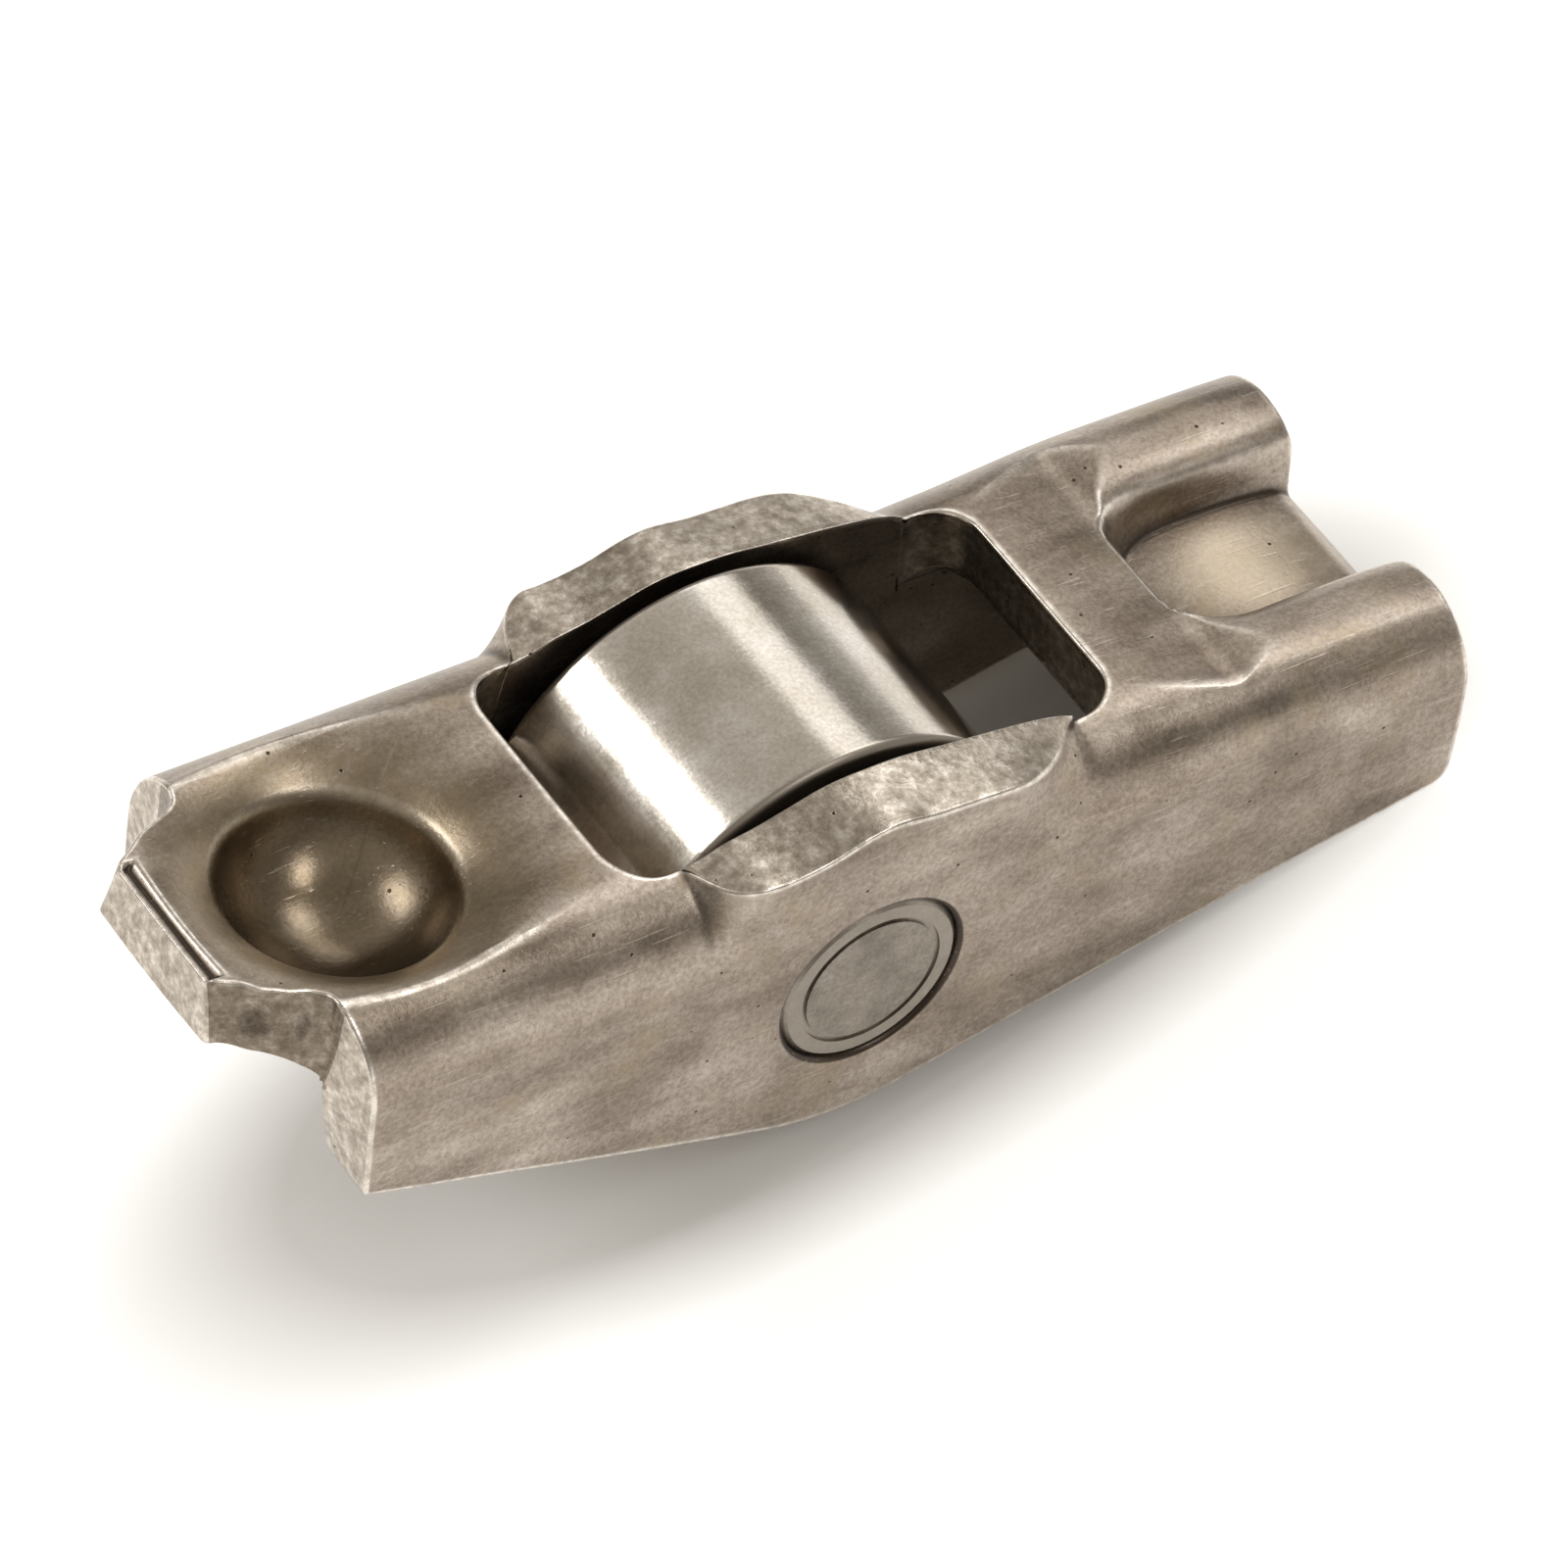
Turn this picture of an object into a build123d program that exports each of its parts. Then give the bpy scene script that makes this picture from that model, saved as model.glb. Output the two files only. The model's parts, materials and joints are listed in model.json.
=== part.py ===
from build123d import *
from math import acos, asin, atan2, cos, degrees, floor, hypot, pi, radians, sin, sqrt
import os

# Roller finger rocker arm, in millimetres.
# A U-shaped arm stamped from one sheet, lying with its web up. A ball socket is pressed into one
# end and a valve pad into the other. Between them a roller turns on loose needles around a pin
# that is staked in the two side walls.
# The model is drawn in the arm's own frame: X along the arm towards the valve end, Y along the
# pin, Z square to the web, with the pin's centre at the origin. At the end of this file it is
# tipped to lie as it comes to rest, on the roller and the valve end.

# Sheet and section
SHEET = 2.5
OUTER_WIDTH = 15.5
FOLD_RADIUS = 3.7
WEB_TOP = 6.6
RIDGE_RADIUS = 2.8
CAVITY_FILLET = 1.4

# Length, all measured from the pin
SOCKET_REACH = 17.2
TONGUE_REACH = 24.2
WALL_REACH = 20.9
VALVE_REACH = 24.45
VALVE_TOP_INSET = 0.35
VALVE_SLANT_Z = 0.5

# Lower edge of the walls
BELLY_X = -0.95
BELLY_DEPTH = 6.75
BELLY_RADIUS = 12.0
SOCKET_HEEL_DEPTH = 0.9
SOCKET_HEEL_INSET = 0.6
WALL_END_STRAIGHT = 1.25
VALVE_KNEE_X = 17.4
VALVE_KNEE_DEPTH = 2.5
VALVE_KNEE_RADIUS = 9.0
VALVE_HEEL_DEPTH = 1.05
VALVE_HEEL_RADIUS = 0.7

# Tongue and the notches beside it
TONGUE_WIDTH = 6.3
TONGUE_CORNER = 0.6
NOTCH_ROOT_X = -22.9
NOTCH_ROOT_WIDTH = 8.6
NOTCH_END_WIDTH = 12.0
NOTCH_ROOT_DEPTH = 0.3

# Ball socket in its dish
CUP_RADIUS = 4.3
CUP_RIM_RADIUS = 4.1
CUP_RIM_ROUND = 0.45
CUP_WALL = 2.2
DISH_DEPTH = 1.4
DISH_FLAT_RADIUS = 4.8
DISH_RADIUS = 7.2
DISH_FLAT_RISE = 0.1
DISH_START_SLOPE = 0.3
DISH_END_SLOPE = 0.15

# Window for the roller and the ears beside it
WINDOW_SOCKET_X = -9.35
WINDOW_VALVE_X = 10.85
WINDOW_CORNER = 1.8
EAR_SOCKET_FOOT_X = -7.9
EAR_SOCKET_X = -5.6
EAR_SOCKET_RISE = 0.25
EAR_PEAK_X = 0.5
EAR_PEAK_RISE = 1.35
EAR_VALVE_X = 6.3
EAR_VALVE_RISE = 0.65
EAR_VALVE_FOOT_X = 9.9

# Shoulder between the flat web and the valve ridges
SHOULDER_START_X = 10.0
SHOULDER_TIP_X = 14.9
SHOULDER_TIP_WIDTH = 12.9
SHOULDER_TIP_DROP = 2.1
SHOULDER_END_X = 17.4

# Valve pad channel
CHANNEL_WIDTH = 6.2
CHANNEL_BACK_X = 14.65
CHANNEL_CORNER = 2.1
CHANNEL_LIP = 0.85
CHANNEL_LIP_ANGLE = 40.0
PAD_X = 20.2
PAD_TOP = 4.22
PAD_CROWN_RADIUS = 16.0
PAD_SLOPE_LENGTH = 2.4
PAD_SLOPE_INSET = 1.0

# Roller, needles and pin
ROLLER_DIAMETER = 16.2
ROLLER_SIDE_CLEARANCE = 0.55
ROLLER_EDGE = 0.35
PIN_DIAMETER = 7.1
PIN_RECESS = 0.08
PIN_EDGE = 0.22
PIN_MARK_RADIUS = 2.8
PIN_MARK_WIDTH = 0.22
PIN_MARK_DEPTH = 0.1
PIN_HOLE_CLEARANCE = 0.01
PIN_HOLE_EDGE = 0.24
NEEDLE_DIAMETER = 1.6
NEEDLE_CLEARANCE = 0.02
NEEDLE_END_GAP = 0.3
NEEDLE_END_ROUND = 0.25

# Sizes that follow from those above
HALF_OUTER = OUTER_WIDTH / 2
HALF_INNER = HALF_OUTER - SHEET
WEB_UNDERSIDE = WEB_TOP - SHEET
FOLD_START_Z = WEB_TOP - FOLD_RADIUS
CUP_RIM_Z = WEB_TOP - DISH_DEPTH
CUP_CENTER_Z = CUP_RIM_Z + sqrt(CUP_RADIUS ** 2 - CUP_RIM_RADIUS ** 2)
PAD_UNDERSIDE = PAD_TOP - SHEET
ROLLER_RADIUS = ROLLER_DIAMETER / 2
ROLLER_WIDTH = 2 * (HALF_INNER - ROLLER_SIDE_CLEARANCE)
PIN_RADIUS = PIN_DIAMETER / 2
NEEDLE_RADIUS = NEEDLE_DIAMETER / 2
NEEDLE_PITCH_RADIUS = PIN_RADIUS + NEEDLE_CLEARANCE + NEEDLE_RADIUS
ROLLER_BORE_RADIUS = NEEDLE_PITCH_RADIUS + NEEDLE_RADIUS + NEEDLE_CLEARANCE
NEEDLE_COUNT = floor(pi / asin(NEEDLE_RADIUS / NEEDLE_PITCH_RADIUS))

# Working sizes, not sizes of the part
BEYOND = 5.0
NEAR = 0.01


def fold_height(half_width, radius):
    """Height of the outer fold's surface at a distance from the mid-plane."""
    across = half_width - (HALF_OUTER - radius)
    return WEB_TOP - radius + sqrt(radius ** 2 - across ** 2)


def side_profile():
    """Outline of the arm seen along the pin, from the tongue to the valve end."""
    heel = (-WALL_REACH + SOCKET_HEEL_INSET, -SOCKET_HEEL_DEPTH)
    belly = (BELLY_X, -BELLY_DEPTH)
    knee = (VALVE_KNEE_X, -VALVE_KNEE_DEPTH)
    valve_heel = (VALVE_REACH, -VALVE_HEEL_DEPTH)
    outline = Polyline(
        heel, belly, knee, valve_heel, (VALVE_REACH, VALVE_SLANT_Z),
        (VALVE_REACH - VALVE_TOP_INSET, WEB_TOP), (-TONGUE_REACH, WEB_TOP),
        (-TONGUE_REACH, WEB_UNDERSIDE), (-WALL_REACH, WEB_UNDERSIDE),
        (-WALL_REACH, WEB_UNDERSIDE - WALL_END_STRAIGHT), close=True)
    face = make_face(outline)
    for place, radius in ((belly, BELLY_RADIUS), (knee, VALVE_KNEE_RADIUS),
                          (valve_heel, VALVE_HEEL_RADIUS)):
        corner = face.vertices().sort_by_distance((place[0], place[1], 0))[0]
        face = fillet(corner, radius)
    return face


def along_arm(face, half_width):
    """A side-view face as a solid, as wide on both sides of the mid-plane."""
    return extrude(Plane.XZ * face, half_width, both=True)


def top_edges(solid, lowest, half_width):
    """The long edges of a solid's top, one chain at each side."""
    def wanted(edge):
        middle = edge.position_at(0.5)
        box = edge.bounding_box()
        return (abs(abs(middle.Y) - half_width) < NEAR and box.min.Z > lowest - NEAR
                and box.size.X > NEAR)
    return solid.edges().filter_by(wanted)


def outer_block():
    """The solid outer shape of the arm, with its folds, before anything is hollowed."""
    block = along_arm(side_profile(), HALF_OUTER)
    long_edges = top_edges(block, WEB_TOP, HALF_OUTER)
    socket_part = split(fillet(long_edges, FOLD_RADIUS), section_plane(SHOULDER_TIP_X), Keep.BOTTOM)
    valve_part = split(fillet(long_edges, RIDGE_RADIUS), section_plane(SHOULDER_TIP_X), Keep.TOP)
    return socket_part + valve_part


def cavity():
    """The space between the walls, under the web and the lowered valve pad."""
    slope_end = CHANNEL_BACK_X - PAD_SLOPE_INSET
    slope_start = (slope_end - PAD_SLOPE_LENGTH, WEB_UNDERSIDE)
    slope_foot = (slope_end, PAD_UNDERSIDE)
    low = -BELLY_DEPTH - BEYOND
    left = -TONGUE_REACH - BEYOND
    right = VALVE_REACH + BEYOND
    face = make_face(Polyline(
        (left, low), (left, WEB_UNDERSIDE), slope_start, slope_foot,
        (right, PAD_UNDERSIDE), (right, low), close=True))
    for place in (slope_start, slope_foot):
        corner = face.vertices().sort_by_distance((place[0], place[1], 0))[0]
        face = fillet(corner, SHEET)
    space = along_arm(face, HALF_INNER)
    return fillet(top_edges(space, PAD_UNDERSIDE, HALF_INNER), CAVITY_FILLET)


def ear(side):
    """The upright edge of one wall beside the window, blended into the folds at both ends."""
    base = -SHEET
    heights = [
        (EAR_SOCKET_X, WEB_TOP + EAR_SOCKET_RISE),
        (EAR_PEAK_X, WEB_TOP + EAR_PEAK_RISE),
        (EAR_VALVE_X, WEB_TOP + EAR_VALVE_RISE),
    ]
    crest = ThreePointArc(*heights)
    face = make_face(Curve() + [
        crest,
        Line(heights[0], (EAR_SOCKET_X, base)),
        Line((EAR_SOCKET_X, base), (EAR_VALVE_X, base)),
        Line((EAR_VALVE_X, base), heights[2]),
    ])
    plate = extrude(Plane.XZ * face, -SHEET)
    plate = Pos(0, HALF_INNER, 0) * plate
    blends = []
    for foot_x, end_x, height in (
            (EAR_SOCKET_FOOT_X, EAR_SOCKET_X, heights[0][1]),
            (EAR_VALVE_FOOT_X, EAR_VALVE_X, heights[2][1])):
        blends.append(loft([fold_section(foot_x, base), upright_section(end_x, base, height)]))
    whole = plate + blends[0] + blends[1]
    return whole if side > 0 else mirror(whole, Plane.XZ)


def section_plane(x):
    """Plane square to the arm at x, with its own x along Y and its own y along Z."""
    return Plane(origin=(x, 0, 0), x_dir=(0, 1, 0), z_dir=(1, 0, 0))


def fold_section(x, base):
    """Wall section at a window corner, where the wall still bends over into the web."""
    center = HALF_OUTER - FOLD_RADIUS
    inner_z = fold_height(HALF_INNER, FOLD_RADIUS)
    start = degrees(acos((HALF_INNER - center) / FOLD_RADIUS))
    face = make_face(Curve() + [
        CenterArc((center, FOLD_START_Z), FOLD_RADIUS, 0, start),
        Line((HALF_INNER, inner_z), (HALF_INNER, base)),
        Line((HALF_INNER, base), (HALF_OUTER, base)),
        Line((HALF_OUTER, base), (HALF_OUTER, FOLD_START_Z)),
    ])
    return section_plane(x) * face


def upright_section(x, base, height):
    """Wall section beside the window, where the wall stands up to its sheared edge."""
    face = make_face(Polyline(
        (HALF_INNER, height), (HALF_INNER, base), (HALF_OUTER, base), (HALF_OUTER, height),
        close=True))
    return section_plane(x) * face


def shoulder(side):
    """The sharp shoulder where the flat web runs out beside the valve ridge."""
    inner = HALF_INNER - SHEET
    tip = SHOULDER_TIP_WIDTH / 2
    base = WEB_UNDERSIDE - SHEET

    def section(x, points):
        return section_plane(x) * make_face(Polyline(*points, close=True))

    low_half = (HALF_INNER + HALF_OUTER) / 2
    start = section(SHOULDER_START_X, [
        (inner, base), (HALF_OUTER, base), (HALF_OUTER, FOLD_START_Z),
        (low_half, fold_height(low_half, FOLD_RADIUS)), (inner, WEB_TOP)])
    middle = section(SHOULDER_TIP_X, [
        (inner, base), (HALF_OUTER, base), (HALF_OUTER, WEB_TOP - SHOULDER_TIP_DROP),
        (tip, WEB_TOP), (inner, WEB_TOP)])
    end = section(SHOULDER_END_X, [
        (inner, base), (HALF_OUTER, base), (HALF_OUTER, WEB_TOP - RIDGE_RADIUS),
        (low_half, fold_height(low_half, RIDGE_RADIUS)), (inner, WEB_TOP)])
    whole = loft([start, middle], ruled=True) + loft([middle, end], ruled=True)
    return whole if side > 0 else mirror(whole, Plane.XZ)


def dish_and_cup():
    """The space of the ball socket and the round dish above it."""
    rim = (CUP_RIM_RADIUS, CUP_RIM_Z)
    flat_end = (DISH_FLAT_RADIUS, CUP_RIM_Z + DISH_FLAT_RISE)
    top = (DISH_RADIUS, WEB_TOP)
    above = WEB_TOP + BEYOND
    sweep_angle = degrees(asin(CUP_RIM_RADIUS / CUP_RADIUS))
    face = make_face(Curve() + [
        CenterArc((0, CUP_CENTER_Z), CUP_RADIUS, -90, sweep_angle),
        Line(rim, flat_end),
        Spline(flat_end, top, tangents=[(1, DISH_START_SLOPE), (1, DISH_END_SLOPE)]),
        Line(top, (DISH_RADIUS, above)),
        Line((DISH_RADIUS, above), (0, above)),
        Line((0, above), (0, CUP_CENTER_Z - CUP_RADIUS)),
    ])
    corner = face.vertices().sort_by_distance((rim[0], rim[1], 0))[0]
    face = fillet(corner, CUP_RIM_ROUND)
    return Pos(-SOCKET_REACH, 0, 0) * revolve(Plane.XZ * face, Axis.Z)


def cup_back():
    """The metal pushed down behind the ball socket and its dish, between the walls."""
    radius = CUP_RADIUS + CUP_WALL
    flange_z = CUP_RIM_Z - SHEET
    flange_radius = sqrt(radius ** 2 - (CUP_CENTER_Z - flange_z) ** 2)
    bottom = (0, CUP_CENTER_Z - radius)
    flange = (flange_radius, flange_z)
    edge = (DISH_RADIUS, WEB_UNDERSIDE)
    inside = (DISH_RADIUS, CUP_RIM_Z)
    face = make_face(Curve() + [
        CenterArc((0, CUP_CENTER_Z), radius, -90, degrees(asin(flange_radius / radius))),
        Line(flange, edge),
        Line(edge, inside),
        Line(inside, (0, CUP_RIM_Z)),
        Line((0, CUP_RIM_Z), bottom),
    ])
    bump = revolve(Plane.XZ * face, Axis.Z)
    between = Box(4 * DISH_RADIUS, OUTER_WIDTH - SHEET, 4 * DISH_RADIUS)
    return Pos(-SOCKET_REACH, 0, 0) * (bump & between)


def end_corners():
    """What is cut from the socket end beside the tongue."""
    left = -TONGUE_REACH - BEYOND
    half = TONGUE_WIDTH / 2
    face = make_face(Polyline(
        (left, half - TONGUE_CORNER - BEYOND), (-TONGUE_REACH, half - TONGUE_CORNER),
        (-TONGUE_REACH + TONGUE_CORNER, half), (NOTCH_ROOT_X - NOTCH_ROOT_DEPTH, half),
        (NOTCH_ROOT_X, NOTCH_ROOT_WIDTH / 2), (-WALL_REACH, NOTCH_END_WIDTH / 2),
        (-WALL_REACH, OUTER_WIDTH), (left, OUTER_WIDTH), close=True))
    cut = Pos(0, 0, -BELLY_DEPTH - BEYOND) * extrude(face, 4 * BELLY_DEPTH)
    return cut + mirror(cut, Plane.XZ)


def window():
    """The opening that the roller stands in."""
    length = WINDOW_VALVE_X - WINDOW_SOCKET_X
    middle = (WINDOW_VALVE_X + WINDOW_SOCKET_X) / 2
    plan = RectangleRounded(length, 2 * HALF_INNER, WINDOW_CORNER)
    return Pos(middle, 0, 0) * extrude(plan, WEB_TOP + BEYOND)


def channel():
    """The space above the valve pad, between the two ridges, with a bevelled lip."""
    length = VALVE_REACH + BEYOND - CHANNEL_BACK_X
    plan = Pos(CHANNEL_BACK_X + length / 2, 0) * RectangleRounded(
        length, CHANNEL_WIDTH, CHANNEL_CORNER)
    above = extrude(plan, WEB_TOP + BEYOND)
    crown = Pos(PAD_X, 0, PAD_TOP - PAD_CROWN_RADIUS) * Rot(90, 0, 0) * Cylinder(
        PAD_CROWN_RADIUS, OUTER_WIDTH)
    lip = extrude(Pos(0, 0, WEB_TOP - CHANNEL_LIP) * plan, 2 * CHANNEL_LIP, taper=-CHANNEL_LIP_ANGLE)
    return (above - crown) + lip


def pin_holes():
    """Both holes for the pin, each with a chamfer at the wall's outer face."""
    radius = PIN_RADIUS + PIN_HOLE_CLEARANCE
    bore = Rot(90, 0, 0) * Cylinder(radius, OUTER_WIDTH + BEYOND)
    mouths = []
    for side in (-1, 1):
        cone = Cone(radius, radius + 2 * PIN_HOLE_EDGE, 2 * PIN_HOLE_EDGE)
        mouths.append(Pos(0, side * HALF_OUTER, 0) * Rot(-90 * side, 0, 0) * cone)
    return bore + mouths[0] + mouths[1]


def arm_body():
    """The stamped arm, one piece of sheet."""
    body = outer_block()
    body = body + shoulder(1) + shoulder(-1)
    body = body - cavity()
    body = body + cup_back()
    body = body - dish_and_cup()
    body = body - window()
    body = body + ear(1) + ear(-1)
    body = body - end_corners()
    body = body - channel()
    body = body - pin_holes()
    return body


def roller_ring():
    """The hardened outer ring that the cam runs on."""
    ring = Cylinder(ROLLER_RADIUS, ROLLER_WIDTH)
    ring = fillet(ring.edges().filter_by(GeomType.CIRCLE), ROLLER_EDGE)
    return Rot(90, 0, 0) * (ring - Cylinder(ROLLER_BORE_RADIUS, ROLLER_WIDTH + BEYOND))


def axle_pin():
    """The pin, with a chamfer and a shallow ring mark on each end."""
    length = OUTER_WIDTH - 2 * PIN_RECESS
    pin = Cylinder(PIN_RADIUS, length)
    pin = chamfer(pin.edges().filter_by(GeomType.CIRCLE), PIN_EDGE)
    mark = Cylinder(PIN_MARK_RADIUS, 2 * PIN_MARK_DEPTH)
    mark = mark - Cylinder(PIN_MARK_RADIUS - PIN_MARK_WIDTH, SHEET)
    for side in (-1, 1):
        pin = pin - Pos(0, 0, side * length / 2) * mark
    return Rot(90, 0, 0) * pin


def needle(number):
    """One loose needle between the pin and the ring."""
    angle = radians(360 / NEEDLE_COUNT * number)
    length = ROLLER_WIDTH - 2 * NEEDLE_END_GAP
    roller = Cylinder(NEEDLE_RADIUS, length)
    roller = fillet(roller.edges().filter_by(GeomType.CIRCLE), NEEDLE_END_ROUND)
    place = (NEEDLE_PITCH_RADIUS * sin(angle), 0, NEEDLE_PITCH_RADIUS * cos(angle))
    return Pos(*place) * Rot(90, 0, 0) * roller


def rest_tilt():
    """Angle that the arm tips by until the roller and the valve end both touch a flat surface."""
    rise = (VALVE_KNEE_DEPTH - VALVE_HEEL_DEPTH) / (VALVE_REACH - VALVE_KNEE_X)
    heel_x = VALVE_REACH - VALVE_HEEL_RADIUS
    heel_z = -VALVE_HEEL_DEPTH + VALVE_HEEL_RADIUS * (sqrt(1 + rise ** 2) - rise)
    drop = asin((ROLLER_RADIUS - VALVE_HEEL_RADIUS) / hypot(heel_x, heel_z))
    return degrees(drop + atan2(heel_z, heel_x))


pieces = {
    "arm_body": arm_body(),
    "axle_pin": axle_pin(),
    "roller_ring": roller_ring(),
}
for number in range(1, NEEDLE_COUNT + 1):
    pieces[f"needle_{number:02d}"] = needle(number)

tipped = Rot(0, rest_tilt(), 0)
outline = (tipped * pieces["arm_body"]).bounding_box()
middle_x = (outline.min.X + outline.max.X) / 2
at_rest = Pos(-middle_x, 0, ROLLER_RADIUS) * tipped

os.makedirs("parts", exist_ok=True)
for name, solid in pieces.items():
    export_step(at_rest * solid, f"parts/{name}.step")
print("needles:", NEEDLE_COUNT, "rest tilt:", round(rest_tilt(), 3), "pin x:", round(-middle_x, 3))
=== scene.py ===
# %% [markdown]
# # A stamped rocker arm
#
# A roller finger rocker arm sits between a cam and a valve in an engine. Its arm is one sheet of
# steel, blanked, folded to a U and coined in a press, then case hardened and tumbled. A roller
# turns on needles around a pin that is staked in the arm's two walls.
#
# The exact model gives the roller, the pin and the needles, which are turned and ground, so they
# keep their shapes and only get a finish. The arm has the soft, flowing shapes of pressed sheet.
# Solids made of planes and arcs can't show those, and a subdivision cage would drift away from the
# measured sizes. So this lesson works the arm's surface out with numpy, in the exact model's sizes.

# %% Load the frame
import bmesh
import bpy
import json
import math
import numpy as np
from mathutils import Matrix, Vector


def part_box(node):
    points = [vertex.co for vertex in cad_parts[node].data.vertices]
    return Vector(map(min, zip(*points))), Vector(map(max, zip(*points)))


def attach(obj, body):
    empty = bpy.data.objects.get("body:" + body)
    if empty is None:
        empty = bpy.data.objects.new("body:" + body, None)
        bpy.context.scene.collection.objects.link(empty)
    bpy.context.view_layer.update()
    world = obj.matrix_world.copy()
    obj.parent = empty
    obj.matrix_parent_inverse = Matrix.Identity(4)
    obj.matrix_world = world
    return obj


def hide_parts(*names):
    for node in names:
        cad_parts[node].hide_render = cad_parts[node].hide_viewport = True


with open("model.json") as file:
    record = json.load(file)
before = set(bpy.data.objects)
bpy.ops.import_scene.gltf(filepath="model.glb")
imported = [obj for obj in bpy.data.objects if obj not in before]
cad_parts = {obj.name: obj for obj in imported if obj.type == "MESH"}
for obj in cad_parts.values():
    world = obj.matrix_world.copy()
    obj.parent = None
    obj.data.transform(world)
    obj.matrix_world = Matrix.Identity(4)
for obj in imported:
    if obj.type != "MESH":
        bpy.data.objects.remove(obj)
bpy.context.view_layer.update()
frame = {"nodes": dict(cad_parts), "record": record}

# %% [markdown]
# ## Where the arm's own axes lie
#
# The part lies on the floor as it comes to rest, so its web is pitched. The shapes are easier to
# think of square to the web: X along the arm towards the valve end, Y along the pin, Z out of the
# web, in millimetres, with the pin's centre at the origin. The arm could be built that way and its
# object turned, but a finished piece's object stays unturned at the origin. So one function turns
# the points instead. The pin's place is the middle of the roller's box, and the pitch is read from
# the record, where the valve pad's mount points straight out of the web.

# %% Arm axes to the frame's
MM = 0.001
pad_axis = [m["axis"] for m in frame["record"]["mounts"] if m["name"] == "valve_pad"][0]
pitch = math.atan2(pad_axis[0], pad_axis[2])
roller_box = np.array([list(corner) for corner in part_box("roller_ring")])
pin_place = roller_box.mean(axis=0)


def turned(points):
    """Directions in the arm's axes, turned about Y by the pitch: x' = x cos + z sin,
    z' = z cos - x sin."""
    x, y, z = points[..., 0], points[..., 1], points[..., 2]
    c, s = math.cos(pitch), math.sin(pitch)
    return np.stack((x * c + z * s, y, z * c - x * s), axis=-1)


def to_frame(points):
    """Points in the arm's axes and millimetres, in the frame and metres."""
    return turned(np.asarray(points, float)) * MM + pin_place


print("pitch", round(math.degrees(pitch), 2), "degrees, pin at", pin_place.round(5))

# %% [markdown]
# ## Curves through measured points
#
# Pressed sheet has few exact arcs: edges and heights flow from one measured point to the next. A
# curve object can draw such a line, but it can't give its height at every point of a grid. A cubic
# Hermite curve in numpy can. At each knot its slope is the mean of the slopes on both sides. At a
# knot that is higher or lower than both its neighbours the slope is zero, so the curve turns there
# and doesn't swing past it.

# %% A smooth curve through knots
def flow(x, knots):
    """Height of a smooth curve at x: between two knots, the cubic that has the height and the slope
    of both. knots are (x, height), and beyond the ends the curve stays level."""
    kx, ky = np.array(knots, float).T
    slope = np.diff(ky) / np.diff(kx)
    tangent = np.concatenate((slope[:1], (slope[1:] + slope[:-1]) / 2, slope[-1:]))
    tangent[1:-1][slope[1:] * slope[:-1] <= 0] = 0
    i = np.clip(np.searchsorted(kx, x) - 1, 0, len(kx) - 2)
    step = kx[i + 1] - kx[i]
    t = np.clip((x - kx[i]) / step, 0, 1)
    rise = t * t * (3 - 2 * t)
    return (ky[i] * (1 - rise) + ky[i + 1] * rise
            + step * t * (1 - t) * ((1 - t) * tangent[i] - t * tangent[i + 1]))


def straight(x, knots):
    """The same with straight runs between the knots, for a line that has a real corner."""
    kx, ky = np.array(knots, float).T
    return np.interp(x, kx, ky)


def ease(t):
    """0 below 0, 1 above 1 and a smooth S between: 3 t^2 - 2 t^3."""
    t = np.clip(t, 0, 1)
    return t * t * (3 - 2 * t)


def lower_of(a, b, soft):
    """The lower of two heights. Where they are closer than soft, the edge between them is rounded:
    the lower one goes down by a quarter of soft times the square of how near they are, 0 to 1."""
    near = np.clip(1 - np.abs(a - b) / soft, 0, 1)
    return np.minimum(a, b) - soft * near ** 2 / 4


def round_turn(start, corner, end, t):
    """Points of a round turn that touches both sides of a corner: (1-t)^2, 2t(1-t) and t^2 times
    the start, the corner and the end."""
    return (1 - t) ** 2 * start + 2 * t * (1 - t) * corner + t ** 2 * end


print("half way up a curve from 0 to 2:", flow(0.5, [(0, 0), (1, 2)]))

# %% [markdown]
# ## The sheet as a grid of two parameters
#
# The arm is one sheet, so its outer face is one function of two parameters: how far along the arm,
# and how far across the sheet. Across, a runs from 0 in the middle of the web, through 1 at the
# line where the window's side is cut, 2 where the fold ends in the flat wall, to 3 at the wall's
# lower edge. Negative a is the other side.
#
# A Solidify modifier on such a face would keep the same thickness everywhere, but a press thins
# the sheet and pushes it aside. So the inner face is a second function on the same grid.
#
# The grid lines lie where the shape needs them: close together at the channel, the window's
# corners and the edges, and far apart on the flat walls. The blank's outline and the window are
# grid lines too, so no edge is ever cut through a face.

# %% Sizes of the arm, in millimetres
SHEET = 2.5
HALF_OUTER = 7.75                   # from the middle plane to the outside of a wall
HALF_INNER = HALF_OUTER - SHEET
WEB_TOP = 6.6                       # above the pin's centre
EDGE_ROUND = 0.12                   # round of a cut edge on the outer face
EDGE_BURR = 0.05                    # and on the inner face
SIDE_Y = HALF_INNER + EDGE_ROUND    # the window's side
WINDOW_SOCKET = -9.35 - EDGE_ROUND  # the window's end towards the socket
WINDOW_VALVE = 10.85 + EDGE_ROUND   # and towards the valve
WINDOW_CORNER = 1.8
TONGUE_END = -24.25 + EDGE_ROUND
VALVE_END = 24.2 - EDGE_ROUND
FLAT_END = 15.1                     # point of the coined flat
RIDGE_START = 17.2                  # where the crease from that point has run out


# %% Grid lines
def grid_lines(*runs):
    """Line positions in one rising array. Each run is (start, end, spacing)."""
    parts = [np.linspace(a, b, max(1, round((b - a) / step)) + 1)[:-1] for a, b, step in runs]
    return np.concatenate(parts + [[runs[-1][1]]])


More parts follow.
